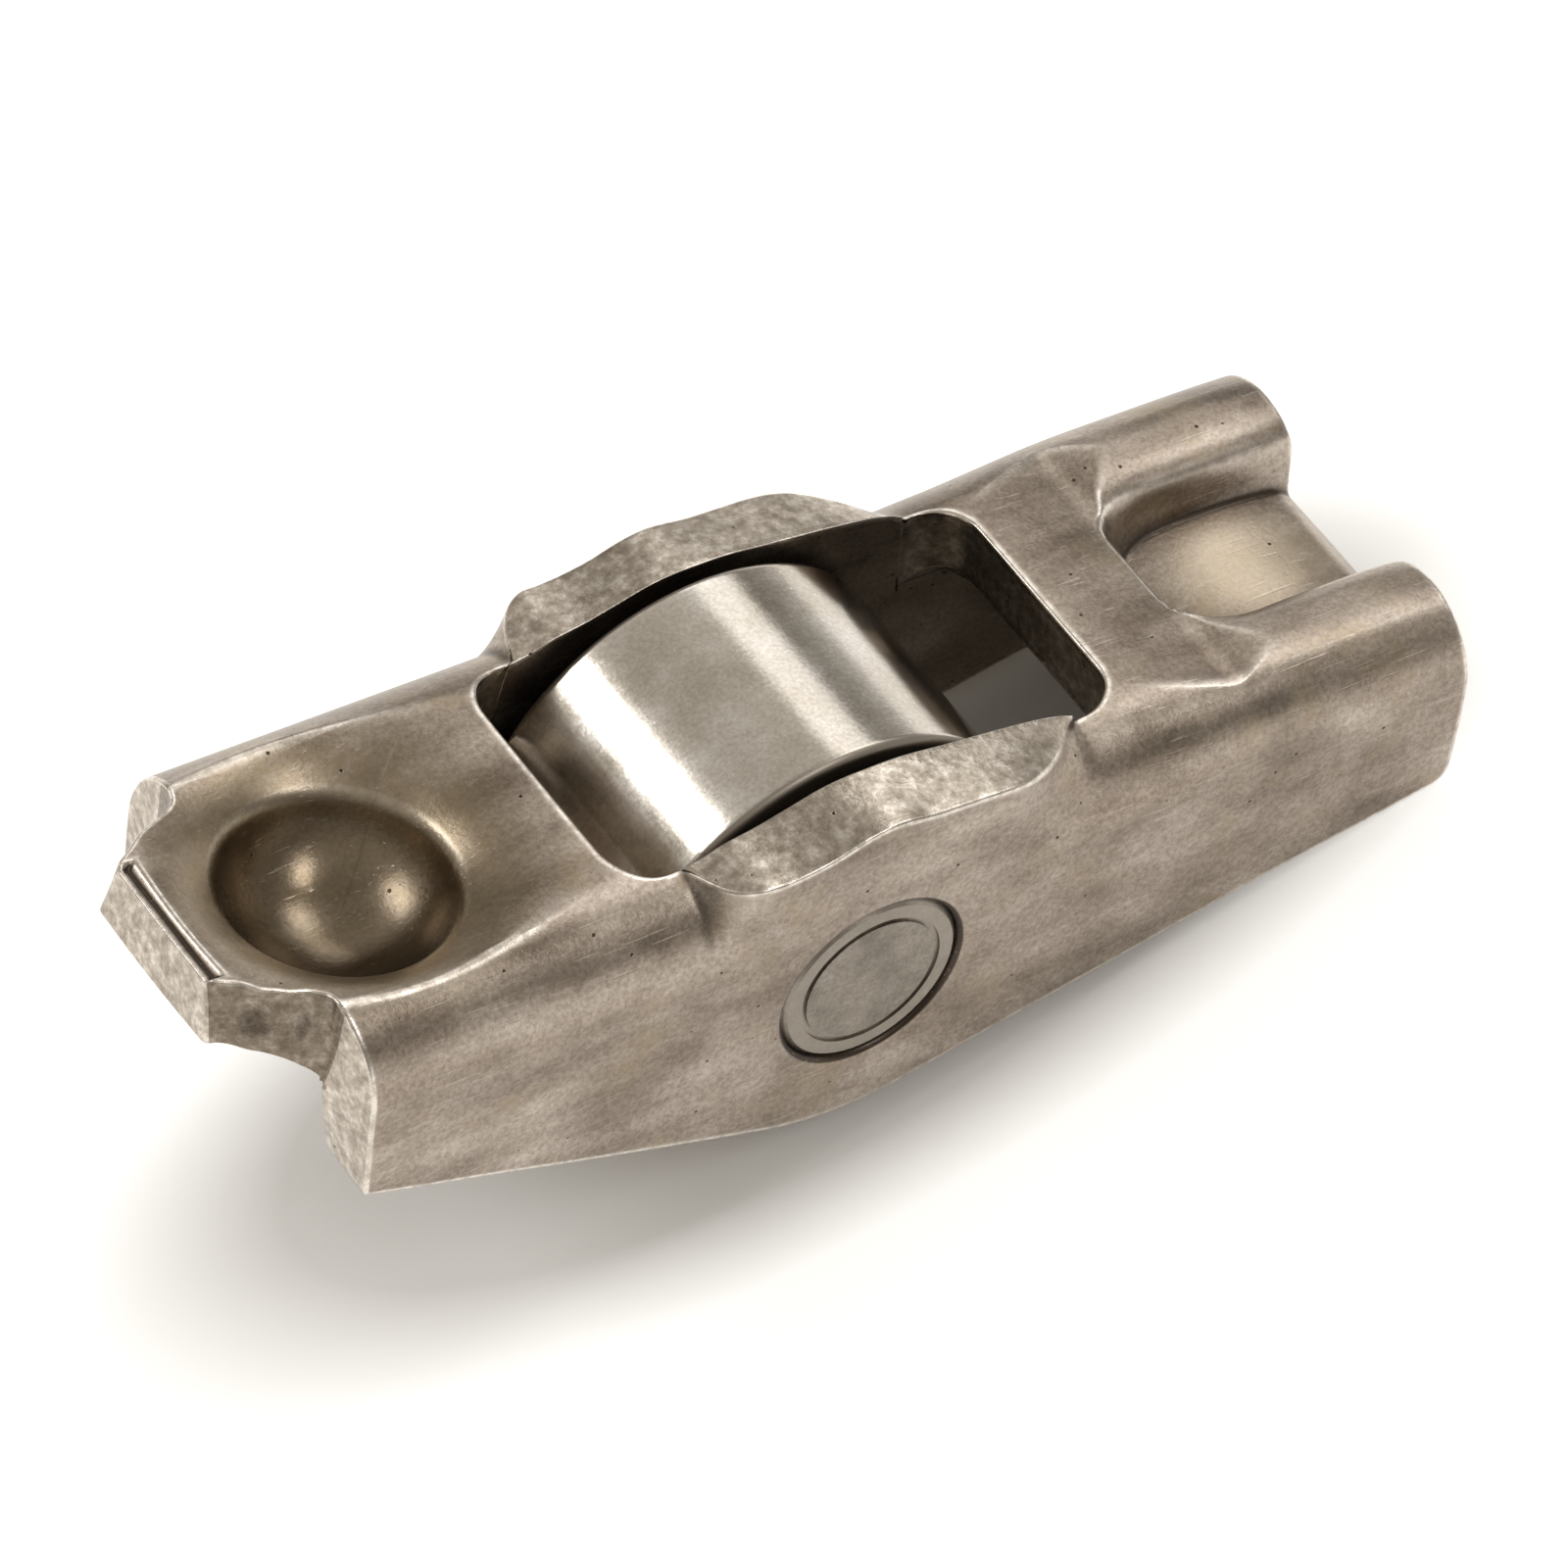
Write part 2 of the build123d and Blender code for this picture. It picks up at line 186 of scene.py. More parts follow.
CHANNEL_FOOT = 2.55
along = grid_lines(
    (TONGUE_END, TONGUE_END + 0.7, 0.07),   # the ledge on the tongue
    (TONGUE_END + 0.7, -22.6, 0.13),        # the notches
    (-22.6, -11.8, 0.2),                    # the dish
    (-11.8, WINDOW_SOCKET, 0.18),
    (WINDOW_SOCKET, -4.6, 0.16),            # the window's corner and the foot of the ear
    (-4.6, 3.8, 0.42),                      # the ear
    (3.8, WINDOW_VALVE, 0.18),              # its other foot and the other corner
    (WINDOW_VALVE, FLAT_END, 0.18),
    (FLAT_END, RIDGE_START, 0.11),          # the crease and the channel's back wall
    (RIDGE_START, VALVE_END - 0.3, 0.28),
    (VALVE_END - 0.3, VALVE_END, 0.1))
corner_turn = np.radians(np.arange(15, 91, 5))
corner_start = SIDE_Y - WINDOW_CORNER
corner_lines = corner_start + WINDOW_CORNER * np.sin(corner_turn)
middle_lines = grid_lines((0, CHANNEL_FOOT, 0.25), (CHANNEL_FOOT, corner_lines[0], 0.085))
web_lines = np.concatenate((middle_lines[:-1], corner_lines)) / SIDE_Y
fold_lines = grid_lines((1, 1.02, 0.02), (1.02, 2, 0.042))
wall_lines = grid_lines((2, 2.96, 0.06), (2.96, 2.985, 0.025), (2.985, 3, 0.015))
half_across = np.concatenate((web_lines[:-1], fold_lines[:-1], wall_lines))
across = np.concatenate((-half_across[:0:-1], half_across))
ALONG, ACROSS = np.meshgrid(along, across, indexing="ij")
print("grid points along and across the arm:", ALONG.shape)

# %% [markdown]
# ## Bending the grid to the outline
#
# The blank isn't a rectangle: a tongue with a straight end, a notch torn on each side of it, and a
# valve end that is nearly straight. Cutting that outline out of a finished face would leave slivers
# along it. Here each line across is bent until it follows the blank: the first one runs round the
# tongue and into the notches, the last one round the valve end, and those at the window run round
# the window's corners. The bend fades out along the arm, slowly enough that no line crosses the
# next. The inner face has its own outline, because shears cut the two faces a little apart.

# %% Outline of the blank: how far across the sheet, and where along the arm
SOCKET_OUTLINE = [
    (0, -24.18), (0.48, -24.18), (0.535, -24.08), (0.575, -23.78), (0.62, -23.4), (0.675, -22.98),
    (0.71, -22.7), (0.745, -22.3), (0.785, -21.78), (0.82, -21.36), (0.86, -21.02), (0.90, -20.84),
    (0.96, -20.74), (1.05, -20.68), (1.2, -20.6), (1.4, -20.5), (1.7, -20.42), (2, -20.38),
    (3, -20.15)]
SOCKET_LINING = [
    (0, -24.4), (0.48, -24.4), (0.53, -24.28), (0.56, -23.95), (0.60, -23.6), (0.66, -23.2),
    (0.72, -22.75), (0.787, -22.3), (0.85, -21.78), (0.92, -21.28), (0.97, -21.0), (1, -20.88),
    (1.2, -20.76), (2, -20.72), (3, -20.15)]
VALVE_OUTLINE = [
    (0, 24.2), (0.5, 24.12), (1, 24.08), (1.5, 24.15), (2, 24.3), (2.4, 24.42), (2.86, 24.45),
    (2.95, 24.4), (3, 24.24)]
NEAR_TEAR = [  # how much deeper the notch at -Y is torn than the other; minus is shallower
    (0.56, 0), (0.60, 0.1), (0.66, 0), (0.70, -0.1), (0.745, -0.02), (0.772, -0.2), (0.80, 0.18),
    (0.84, 0.12), (0.9, 0.06), (1.0, 0)]

# %% Bends, and how far along the arm each one reaches, in millimetres
SOCKET_REACH = 8.6
VALVE_REACH = 3.0
WINDOW_SOCKET_REACH = 4.3
WINDOW_VALVE_REACH = 3.6
TEAR_REACH = 3.0
FOLD_SHARE = 0.9                    # share of the fold where the corners' bend fades out


def corner_bend(a):
    """How far the window's end line bends inwards round its corners: R - sqrt(R^2 - d^2)."""
    past = np.clip(np.minimum(a, 1) * SIDE_Y - corner_start, 0, WINDOW_CORNER)
    bend = WINDOW_CORNER - np.sqrt(WINDOW_CORNER ** 2 - past ** 2)
    return bend * (1 - ease((a - 1) / FOLD_SHARE))


def bent_x(along_line, a, socket_outline):
    """Place along the arm of a point of the grid: its line's place with all the bends added, each
    times 1 at the line where it belongs and down to 0 at its reach."""
    socket_bend = flow(a, socket_outline) + EDGE_ROUND - TONGUE_END
    valve_bend = flow(a, VALVE_OUTLINE) - EDGE_ROUND - VALVE_END
    x = along_line + socket_bend * (1 - ease((along_line - TONGUE_END) / SOCKET_REACH))
    x = x + valve_bend * (1 - ease((VALVE_END - along_line) / VALVE_REACH))
    bend = corner_bend(a)
    x = x + bend * (1 - ease(np.abs(along_line - WINDOW_SOCKET) / WINDOW_SOCKET_REACH))
    return x - bend * (1 - ease(np.abs(along_line - WINDOW_VALVE) / WINDOW_VALVE_REACH))


tear = np.where(ACROSS < 0, flow(-ACROSS, NEAR_TEAR), 0)
X = bent_x(ALONG, np.abs(ACROSS), SOCKET_OUTLINE)
X += tear * (1 - ease((ALONG - TONGUE_END) / TEAR_REACH))
X_INNER = bent_x(ALONG, np.abs(ACROSS), SOCKET_LINING)
print("smallest step along the grid:", np.diff(X, axis=0).min().round(3), "mm")

# %% [markdown]
# ## Folds, ears and the coined flat
#
# Across the arm, the outer face is level to a crest and then turns down into the wall by a quarter
# of an ellipse. Beside the window the fold opens until the wall stands upright, which is how the
# press leaves an ear there. Towards the valve a flat punch has coined the web a little lower, so a
# sharp crease runs out from the window's corner to a point, and back to where the ridge begins.
#
# A modelled crease would need its own loop cut. Here one grid line is laid along it, and the faces
# on its two sides come out of two formulas that meet there, so it stays crisp.

# %% Measured lines of the outer face: place along the arm, and distance or height
CREST_Y = [(7.8, 4.05), (10.6, 4.55), (15.1, 4.95), (24.5, 5.15)]
CREST = [(16.5, WEB_TOP), (19, 6.56), (22.5, 6.5), (24.2, 6.38)]
FOLD_END = [(11, 2.9), (17.3, 3.75), (24.5, 3.6)]
OPENING = [  # 0 where the sheet is folded, 1 where it stands up as an ear
    (-7.3, 0), (-7.1, 0.07), (-6.85, 0.32), (-6.5, 0.62), (-6.05, 0.84), (-5.45, 0.97), (-4.9, 1),
    (3.6, 1), (4.6, 0.985), (5.4, 0.93), (6.3, 0.78), (7.2, 0.55), (8.0, 0.28), (8.5, 0.1),
    (8.95, 0)]
EAR_OUTER = [
    (-7.3, 6.4), (-6.6, 6.62), (-6.0, 6.78), (-5.4, 6.85), (-4.75, 6.8), (-4.05, 6.85),
    (-3.2, 6.98), (-2.4, 7.18), (-1.8, 7.42), (-1.1, 7.63), (-0.3, 7.72), (0.5, 7.63), (1.2, 7.5),
    (2.4, 7.44), (3.8, 7.37), (5.3, 7.2), (6.3, 7.05), (7.2, 6.95), (8.0, 6.83), (8.95, 6.55)]
LOWER_EDGE = [
    (-20.3, -0.95), (-18.2, -1.59), (-14.96, -2.53), (-10.85, -3.78), (-6.7, -4.98), (-4.6, -5.58),
    (-2.5, -6.12), (-1.2, -6.3), (0.1, -6.32), (1.6, -6.16), (3.5, -5.73), (7.4, -4.82),
    (11.4, -3.9), (15.3, -2.97), (17.3, -2.53), (20.2, -1.94), (22.6, -1.44), (23.4, -1.26),
    (23.9, -1.13), (24.24, -0.96)]
COIN_START = 11.0
COIN_DEPTH = 0.34                   # as far as the punch went, before its point is softened
COIN_SOFT = 0.5
SIDE_LINE = [(COIN_START, SIDE_Y), (FLAT_END, 6.75), (RIDGE_START, 6.0), (24.5, 6.0)]
EVEN_LINES = 3.6 / SIDE_Y           # up to here the web's lines keep their distance
CREASE_LINE = (corner_start + WINDOW_CORNER * 0.5) / SIDE_Y


# %% Coined flat and fold
def coin(x):
    """How far the flat punch has pressed the web down. From the window it grows with the power 1.5
    of the distance, and towards the ridges it fades with the power 1.4, as a share of each run."""
    before = (np.maximum(x - COIN_START, 0) / (FLAT_END - COIN_START)) ** 1.5
    after = (np.maximum(RIDGE_START - x, 0) / (RIDGE_START - FLAT_END)) ** 1.4
    return COIN_DEPTH * np.maximum(lower_of(before, after, COIN_SOFT), 0)


def fold(x):
    """Crest's y and z, and the turn's two half-axes: outwards to the wall and down to its end."""
    crest_y, top = straight(x, CREST_Y), flow(x, CREST)
    return crest_y, top, HALF_OUTER - crest_y, top - flow(x, FOLD_END)


print("coined flat: deepest", round(float(coin(FLAT_END)), 2), "mm")


# %% The outer face before the dish and the channel are pressed into it
def web_y(x, a):
    """Distance from the middle of a line of the web. Three runs: up to 3.6 mm, on to the crease,
    and on to the line that the fold starts from, which stays outside the crease. The crease lies
    where the fold's ellipse is as low as the flat: y = crest + wide sqrt(1 - (1 - coin/high)^2)."""
    crest_y, _, wide, high = fold(x)
    crease = crest_y + wide * np.sqrt(1 - (1 - coin(x) / high) ** 2)
    crease = np.where(x < COIN_START, CREASE_LINE * SIDE_Y, crease)
    side = straight(x, SIDE_LINE)
    to_crease = np.clip((a - EVEN_LINES) / (CREASE_LINE - EVEN_LINES), 0, 1)
    to_side = np.clip((a - CREASE_LINE) / (1 - CREASE_LINE), 0, 1)
    return (np.minimum(a, EVEN_LINES) * SIDE_Y + to_crease * (crease - EVEN_LINES * SIDE_Y)
            + to_side * (side - crease))


def turn_height(x, y):
    """Height of the fold at y: end + high sqrt(1 - t^2), t being the share of the way to the
    wall."""
    crest_y, top, wide, high = fold(x)
    t = np.clip((y - crest_y) / wide, 0, 1)
    return top - high + high * np.sqrt(1 - t ** 2)


def bare_face(x, a):
    """(y, z) of the outer face: the web up to a = 1, the fold's ellipse by its angle up to 2 with
    the ear in its place as far as the fold is open, and the straight wall from there."""
    crest_y, top, wide, high = fold(x)
    end = top - high
    start = np.arcsin((web_y(x, 1.0) - crest_y) / wide)
    turn = start + (math.pi / 2 - start) * np.clip(a - 1, 0, 1)
    y = np.where(a <= 1, web_y(x, a), crest_y + wide * np.sin(turn))
    z = np.where(a <= 1, turn_height(x, y), end + high * np.cos(turn))
    opening = flow(x, OPENING) * (a >= 1)
    ear_top = flow(x, EAR_OUTER) - EDGE_ROUND
    y = y + (HALF_OUTER - y) * opening
    z = z + (end + (ear_top - end) * np.clip(2 - a, 0, 1) - z) * opening
    lower = flow(x, LOWER_EDGE) + EDGE_ROUND
    return y, np.where(a > 2, end + (lower - end) * (a - 2), z)


print("width of the window:", round(2 * float(web_y(0.0, 1.0)), 2), "mm")

# %% [markdown]
# ## Dish, channel and ledge
#
# A blunt punch has pressed a dish round the ball socket. Another has coined the channel that guides
# the valve's tip, with a crowned pad as its floor, and the tongue's end is pressed down to a narrow
# ledge. Boolean cuts would leave hard seams there. Here each is a height over the web, and where
# two of them meet, the face changes from one to the other over a short rounded edge, as the metal
# flowed under the punch.

# %% Sizes of the dish, the channel and the ledge
CUP_X = -17.2
CUP_RADIUS = 4.3
CUP_RIM = (4.1, 5.2)                # radius and height of the rim's sharp corner
CUP_CENTER_Z = CUP_RIM[1] + math.sqrt(CUP_RADIUS ** 2 - CUP_RIM[0] ** 2)
DISH = [CUP_RIM, (4.5, 5.5), (5.0, 5.82), (5.5, 6.06), (6.0, 6.23), (6.7, 6.39), (7.6, 6.52),
        (8.7, 6.62), (12, 7.2), (16, 11)]
DISH_BACK = 4.9                     # from this radius it flattens out sooner towards the tongue,
DISH_STRETCH = 0.35                 # by this share of the square of the distance past it
DISH_EDGE = 0.12
CHANNEL_HALF = 3.02
CHANNEL_CORNER = 1.5
CHANNEL_BACK = 15.45
CHANNEL_SLOPE = 1.75                # how many times the back wall is longer than its profile
CHANNEL_SIDE = 12.0                 # everything that belongs to the channel lies past this x
CHANNEL_WALL = [(-0.5, 0), (-0.28, 0.02), (-0.1, 0.14), (0.02, 0.42), (0.1, 0.6), (0.26, 0.745),
                (0.6, 0.86), (1.05, 0.94), (1.6, 0.985), (2.1, 1)]
BACK_WALL = [(-0.5, 0), (-0.34, 0.02), (-0.26, 0.08), (0.34, 0.93), (0.44, 0.985), (0.58, 1)]
PAD_X = 20.2
PAD_TOP = 4.22
PAD_CROWN = 16.0
PAD_LIP = (23.4, 1.2, 0.5)          # where the pad's end rounds off, over what length and how deep
LEDGE = [(0.1, 0.2), (0.22, 0.23), (0.36, 0.27), (0.46, 0.22), (0.6, 0.05), (0.75, 0)]
LEDGE_SIDE = (0.5, 0.04)            # where across the sheet it ends, and over what share


# %% The whole outer face
def channel_rise(x, y):
    """0 on the valve pad and 1 on the web and the ridges, by the distance from an outline with
    round corners: the length of the parts past both corner lines, less the corner's radius. The
    back wall is a slope with a lip, and the walls along the ridges are steeper and rounded over."""
    side = y - CHANNEL_HALF + CHANNEL_CORNER
    back = (CHANNEL_BACK - x) / CHANNEL_SLOPE + CHANNEL_CORNER
    past = np.hypot(np.maximum(side, 0), np.maximum(back, 0))
    apart = past + np.minimum(np.maximum(side, back), 0) - CHANNEL_CORNER
    share = (np.maximum(back, 0) / (past + 1e-6)) ** 2
    return flow(apart, CHANNEL_WALL) * (1 - share) + flow(apart, BACK_WALL) * share


def dish_height(x, y):
    """Height of the dish by the distance from its axis. Towards the tongue it flattens out sooner,
    so a share of that distance's square is added there."""
    away = np.hypot(x - CUP_X, y)
    behind = np.clip((CUP_X - x) / np.maximum(away, 1e-6), 0, 1)
    further = DISH_STRETCH * np.maximum(away - DISH_BACK, 0) ** 2 * behind ** 2
    return flow(away + further, DISH)


def pressed(x, y, z):
    """Height of the outer face after the dish, the channel and the flat punch. The pad is a crown,
    top - x^2 / 2R, that rounds off at its end."""
    z = lower_of(z, dish_height(x, y), DISH_EDGE)
    lip_x, lip_length, lip_depth = PAD_LIP
    pad = PAD_TOP - (x - PAD_X) ** 2 / (2 * PAD_CROWN) - lip_depth * ease((x - lip_x) / lip_length)
    z = np.where(x > CHANNEL_SIDE, pad + (z - pad) * channel_rise(x, y), z)
    return np.where(x > COIN_START, np.minimum(z, flow(x, CREST) - coin(x)), z)


def outer_face(x, across_line):
    """Points of the sheet's outer face: bare, then pressed, then lowered by the ledge at its
    distance from the tongue's end."""
    a = np.abs(across_line)
    y, z = bare_face(x, a)
    ledge = flow(x - flow(a, SOCKET_OUTLINE), LEDGE)
    ledge = ledge * (1 - ease((a - LEDGE_SIDE[0]) / LEDGE_SIDE[1]))
    return np.stack((x, y * np.sign(across_line), pressed(x, y, z) - ledge), axis=-1)


def print_box(name, face):
    """Prints the lowest and the highest corner of the box around some points, in millimetres."""
    flat = face.reshape(-1, 3)
    print(name, flat.min(axis=0).round(2), "to", flat.max(axis=0).round(2), "mm")


OUTER = outer_face(X, ACROSS)
print_box("outer face:", OUTER)

# %% [markdown]
# ## The inner face
#
# The inner face is seen through the window and from below. Its walls are flat and one sheet
# thickness in from the outer ones, and they turn into the web with a small radius. The metal that
# the punches pushed down stands out under it: a round boss behind the ball socket and a step
# behind the valve pad. An offset of the outer face would fold into itself at those small radii, so
# this face has its own heights.

# %% Inner face
INNER_FILLET = 1.0
WEB_UNDER = [(11.2, WEB_TOP - SHEET), (13.7, 1.72)]
SOCKET_BACK = [(5.3, 2.7), (6.0, 3.22), (6.8, 3.86), (7.4, 4.1), (9, 4.6)]
BACK_RADIUS = 6.5
BOSS_RADIUS = 5.3                   # the boss is a sphere to here, and SOCKET_BACK from here
BOSS_EDGE = 0.3
TONGUE_REACH = 5.0                  # how far along the arm LINING_WIDTH holds
LEAST_EAR = 0.4                     # least height between the ear's edge and the flat wall
LINING_OPENING = [(-7.64, 0), (-7.25, 1), (8.72, 1), (9.14, 0)]
LINING_WIDTH = [
    (0, 0), (0.50, 3.2), (0.53, 3.36), (0.56, 3.45), (0.60, 3.68), (0.66, 4.1), (0.72, 4.4),
    (0.787, 4.68), (0.85, 4.95), (0.92, 5.12), (1, HALF_INNER)]
EAR_INNER = [
    (-7.6, 6.25), (-7.3, 6.38), (-6.4, 6.55), (-5.6, 6.85), (-4.3, 7.12), (-3, 7.5), (-1.6, 7.9),
    (0, 8.0), (1.3, 7.98), (3, 7.75), (4.6, 7.55), (6.3, 7.32), (7.5, 7.1), (8.4, 6.82),
    (9.05, 6.58)]


def underside(x, y):
    """Height of the sheet's underside: the web's or the boss's, whichever is lower, less the
    fillet's R - sqrt(R^2 - d^2) near the wall."""
    web = flow(x, WEB_UNDER)
    away = np.hypot(x - CUP_X, y)
    boss = CUP_CENTER_Z - np.sqrt(np.maximum(BACK_RADIUS ** 2 - away ** 2, 0))
    web = lower_of(web, np.where(away < BOSS_RADIUS, boss, flow(away, SOCKET_BACK)), BOSS_EDGE)
    past = np.clip(y - (HALF_INNER - INNER_FILLET), 0, INNER_FILLET)
    return web - INNER_FILLET + np.sqrt(INNER_FILLET ** 2 - past ** 2)


def inner_face(x, across_line):
    """Points of the sheet's inner face, line for line under those of the outer one: the underside
    up to a = 1, and the wall from there, which reaches up to the ear's edge beside the window."""
    a = np.abs(across_line)
    y = np.minimum(a, 1) * HALF_INNER
    narrower = flow(np.minimum(a, 1), LINING_WIDTH) - y
    y = y + narrower * (1 - ease((ALONG - TONGUE_END) / TONGUE_REACH))
    turn = underside(x, np.full_like(x, HALF_INNER))
    opening = flow(x, LINING_OPENING)
    first = turn + (flow(x, EAR_INNER) - EDGE_BURR - turn) * opening
    second = np.minimum(flow(x, FOLD_END), first - LEAST_EAR)
    lower = flow(x, LOWER_EDGE) + EDGE_BURR
    wall = np.where(a > 2, second + (lower - second) * (a - 2),
                    first + (second - first) * (a - 1))
    z = np.where(a <= 1, underside(x, y), wall)
    z = np.where((a == 1) & (opening > 0), first, z)
    return np.stack((x, y * np.sign(across_line), z), axis=-1)


INNER = inner_face(X_INNER, ACROSS)
print_box("inner face:", INNER)

# %% [markdown]
# ## Joining the faces to one closed skin
#
# All the points go into one list, and each patch of faces is a table of point numbers. Round
# features get round patches: a block of the grid is left out, and rings of points lead from the
# block's border to the socket's rim or to the pin's hole. Both keep the border's points, so the
# skin stays closed. Separate meshes joined and merged by distance would depend on a tolerance.

# %% Point list, grid patches and rings
points = []
quads = []
tris = []
sheared = []


def add_points(new, cut=0.0):
    """Adds points and returns their numbers, in the same array shape. cut, 0 to 1, marks how much
    a point belongs to a sheared face."""
    new = np.asarray(new, float)
    start = sum(len(block) for block in points)
    flat = new.reshape(-1, 3)
    points.append(flat)
    sheared.append(np.broadcast_to(cut, new.shape[:-1]).reshape(-1).astype(float))
    return np.arange(start, start + len(flat)).reshape(new.shape[:-1])


def add_bands(rows):
    """Quads between neighbouring rows of point numbers. Each row is a closed ring."""
    rows = np.asarray(rows)
    after = np.roll(rows, -1, axis=1)
    quads.append(np.stack((rows[:-1], rows[1:], after[1:], after[:-1]), axis=-1).reshape(-1, 4))


# %% Blocks of the grid
def border(low_i, high_i, low_j, high_j):
    """Grid indices once round a block, as two arrays."""
    i = np.concatenate((np.arange(low_i, high_i), np.full(high_j - low_j, high_i),
                        np.arange(high_i, low_i, -1), np.full(high_j - low_j, low_i)))
    j = np.concatenate((np.full(high_i - low_i, low_j), np.arange(low_j, high_j),
                        np.full(high_i - low_i, high_j), np.arange(high_j, low_j, -1)))
    return i, j


def block_of(x_range, a_range):
    """[low i, high i, low j, high j] of the grid block nearest to those ranges."""
    i = [int(np.abs(along - x).argmin()) for x in x_range]
    j = [int(np.abs(across - a).argmin()) for a in a_range]
    return i + j


def add_grid(numbers, holes):
    """Quads of the whole grid, apart from the blocks that are left out."""
    keep = np.ones((numbers.shape[0] - 1, numbers.shape[1] - 1), bool)
    for low_i, high_i, low_j, high_j in holes:
        keep[low_i:high_i, low_j:high_j] = False
    cells = np.stack((numbers[:-1, :-1], numbers[1:, :-1], numbers[1:, 1:], numbers[:-1, 1:]),
                     axis=-1)
    quads.append(cells[keep])


# %% Both faces, without the blocks of the window, the socket and the pin's holes
window_block = block_of((WINDOW_SOCKET, WINDOW_VALVE), (-1, 1))
cup_block = block_of((-22.9, -11.6), (-0.97, 0.97))
pin_blocks = [block_of((-4.9, 4.9), (-2.83, -1.62)), block_of((-4.9, 4.9), (1.62, 2.83))]
outer_numbers = add_points(OUTER)
inner_numbers = add_points(INNER)
add_grid(outer_numbers, [window_block, cup_block] + pin_blocks)
add_grid(inner_numbers, [window_block] + pin_blocks)
print("quads in the two faces:", sum(len(block) for block in quads))

# %% [markdown]
# ## Ball socket
#
# The ball head of the lash adjuster sits in this cup: a part of a sphere, with a rim that the
# punch left round. A UV sphere set into a hole would need its seam stitched. Here one profile, the
# rim's turn and then the sphere, is carried round the cup's axis on the same rays that lead to the
# points of the grid block's border, so the dish, the rim and the bowl are one run of rings. The
# last ring closes in a pole at the bottom.

# %% Rings from the block's border to the rim, and down the bowl
DISH_RINGS = [4.6, 4.46, 4.36]      # radii of the last rings before the rim turns over
FAN_END = 4.75
RIM_CORNER = np.array([4.12, 5.2])
sphere_turn = np.radians(np.linspace(67, 4, 22))
bowl = np.stack((CUP_RADIUS * np.sin(sphere_turn),
                 CUP_CENTER_Z - CUP_RADIUS * np.cos(sphere_turn)), axis=-1)
rim_start = np.array([DISH_RINGS[-1], flow(DISH_RINGS[-1], DISH)])
rim = round_turn(rim_start, RIM_CORNER, bowl[0], np.linspace(0, 1, 7)[1:-1, None])
profile = np.concatenate((rim, bowl))

i, j = border(*cup_block)
edge_x, edge_y = OUTER[i, j, 0] - CUP_X, OUTER[i, j, 1]
angle = np.arctan2(edge_y, edge_x)
ray = np.stack((np.cos(angle), np.sin(angle)), axis=-1)
reach = np.hypot(edge_x, edge_y)
fan = reach + (FAN_END - reach) * np.linspace(0, 1, 11)[1:, None]
radii = np.concatenate((fan, np.repeat(np.array(DISH_RINGS)[:, None], len(i), axis=1)))
ring_x = CUP_X + radii * ray[:, 0]
ring_y = radii * ray[:, 1]
ring_z = pressed(ring_x, np.abs(ring_y), turn_height(ring_x, np.abs(ring_y)))
dish_rings = np.stack((ring_x, ring_y, ring_z), axis=-1)
bowl_rings = np.stack((CUP_X + profile[:, :1] * ray[:, 0], profile[:, :1] * ray[:, 1],
                       np.repeat(profile[:, 1:], len(i), axis=1)), axis=-1)
rings = add_points(np.concatenate((dish_rings, bowl_rings)))
add_bands(np.concatenate((outer_numbers[i, j][None], rings)))
bottom = add_points([[CUP_X, 0, CUP_CENTER_Z - CUP_RADIUS]])[0]
tris.append(np.stack((rings[-1], np.full(len(i), bottom), np.roll(rings[-1], -1)), axis=-1))
print_box("ball socket:", bowl_rings)

# %% [markdown]
# ## Pin holes
#
# Each wall is pierced for the pin and chamfered lightly, so that the pin's rim can be staked into
# the chamfer. A hole cut with a boolean would leave long thin faces round it. Here the hole is a
# profile too, from the outer face over the chamfer to the inner face, carried round the pin's axis
# and joined to the grid by a fan of rings on both sides.

# %% Holes
PIN_HOLE = 3.56
HOLE_PROFILE = [  # how much wider than the hole, and how deep below the outer face
    (0.43, 0), (0.19, 0), (0.13, 0.02), (0.02, 0.13), (0, 0.18), (0, SHEET - 0.1), (0.1, SHEET)]
fan = np.linspace(0, 1, 7)[1:-1, None, None]
for block in pin_blocks:
    i, j = border(*block)
    out, inn = OUTER[i, j], INNER[i, j]
    angle = np.arctan2(out[:, 2], out[:, 0])
    circle = np.stack((np.cos(angle), 0 * angle, np.sin(angle)), axis=-1)
    level = np.array([0, np.sign(out[0, 1]), 0])
    mouth = [circle * (PIN_HOLE + wider) + level * (HALF_OUTER - deep)
             for wider, deep in HOLE_PROFILE]
    outside = out + (mouth[0] - out) * fan
    inside = mouth[-1] + (inn - mouth[-1]) * fan
    rings = add_points(np.concatenate((outside, mouth, inside)))
    add_bands(np.concatenate((outer_numbers[i, j][None], rings, inner_numbers[i, j][None])))
    print_box("pin hole:", np.array(mouth))

# %% [markdown]
# ## Sheared edges
#
# A press cuts sheet in two ways at once: the punch first pulls the edge round, then shears the
# rest, and leaves a small burr on the far side. So every cut edge here has a round of 0.12 mm on
# the outer face, a flat sheared band, and a much smaller round on the inner face. In two places
# beside the tongue the band is torn, which leaves shallow hollows. A Bevel modifier would round
# both faces alike and know nothing of hollows.
#
# The band's direction at each point is square to both the edge's run and the face's normal. At the
# feet of the ears the sheet changes quickly from folded to upright, and there the inner round
# turns towards the outer edge, or it would fold over itself.

# %% Directions at an edge
def unit(v):
    """Vectors of length 1 along v."""
    return v / np.linalg.norm(v, axis=-1, keepdims=True)


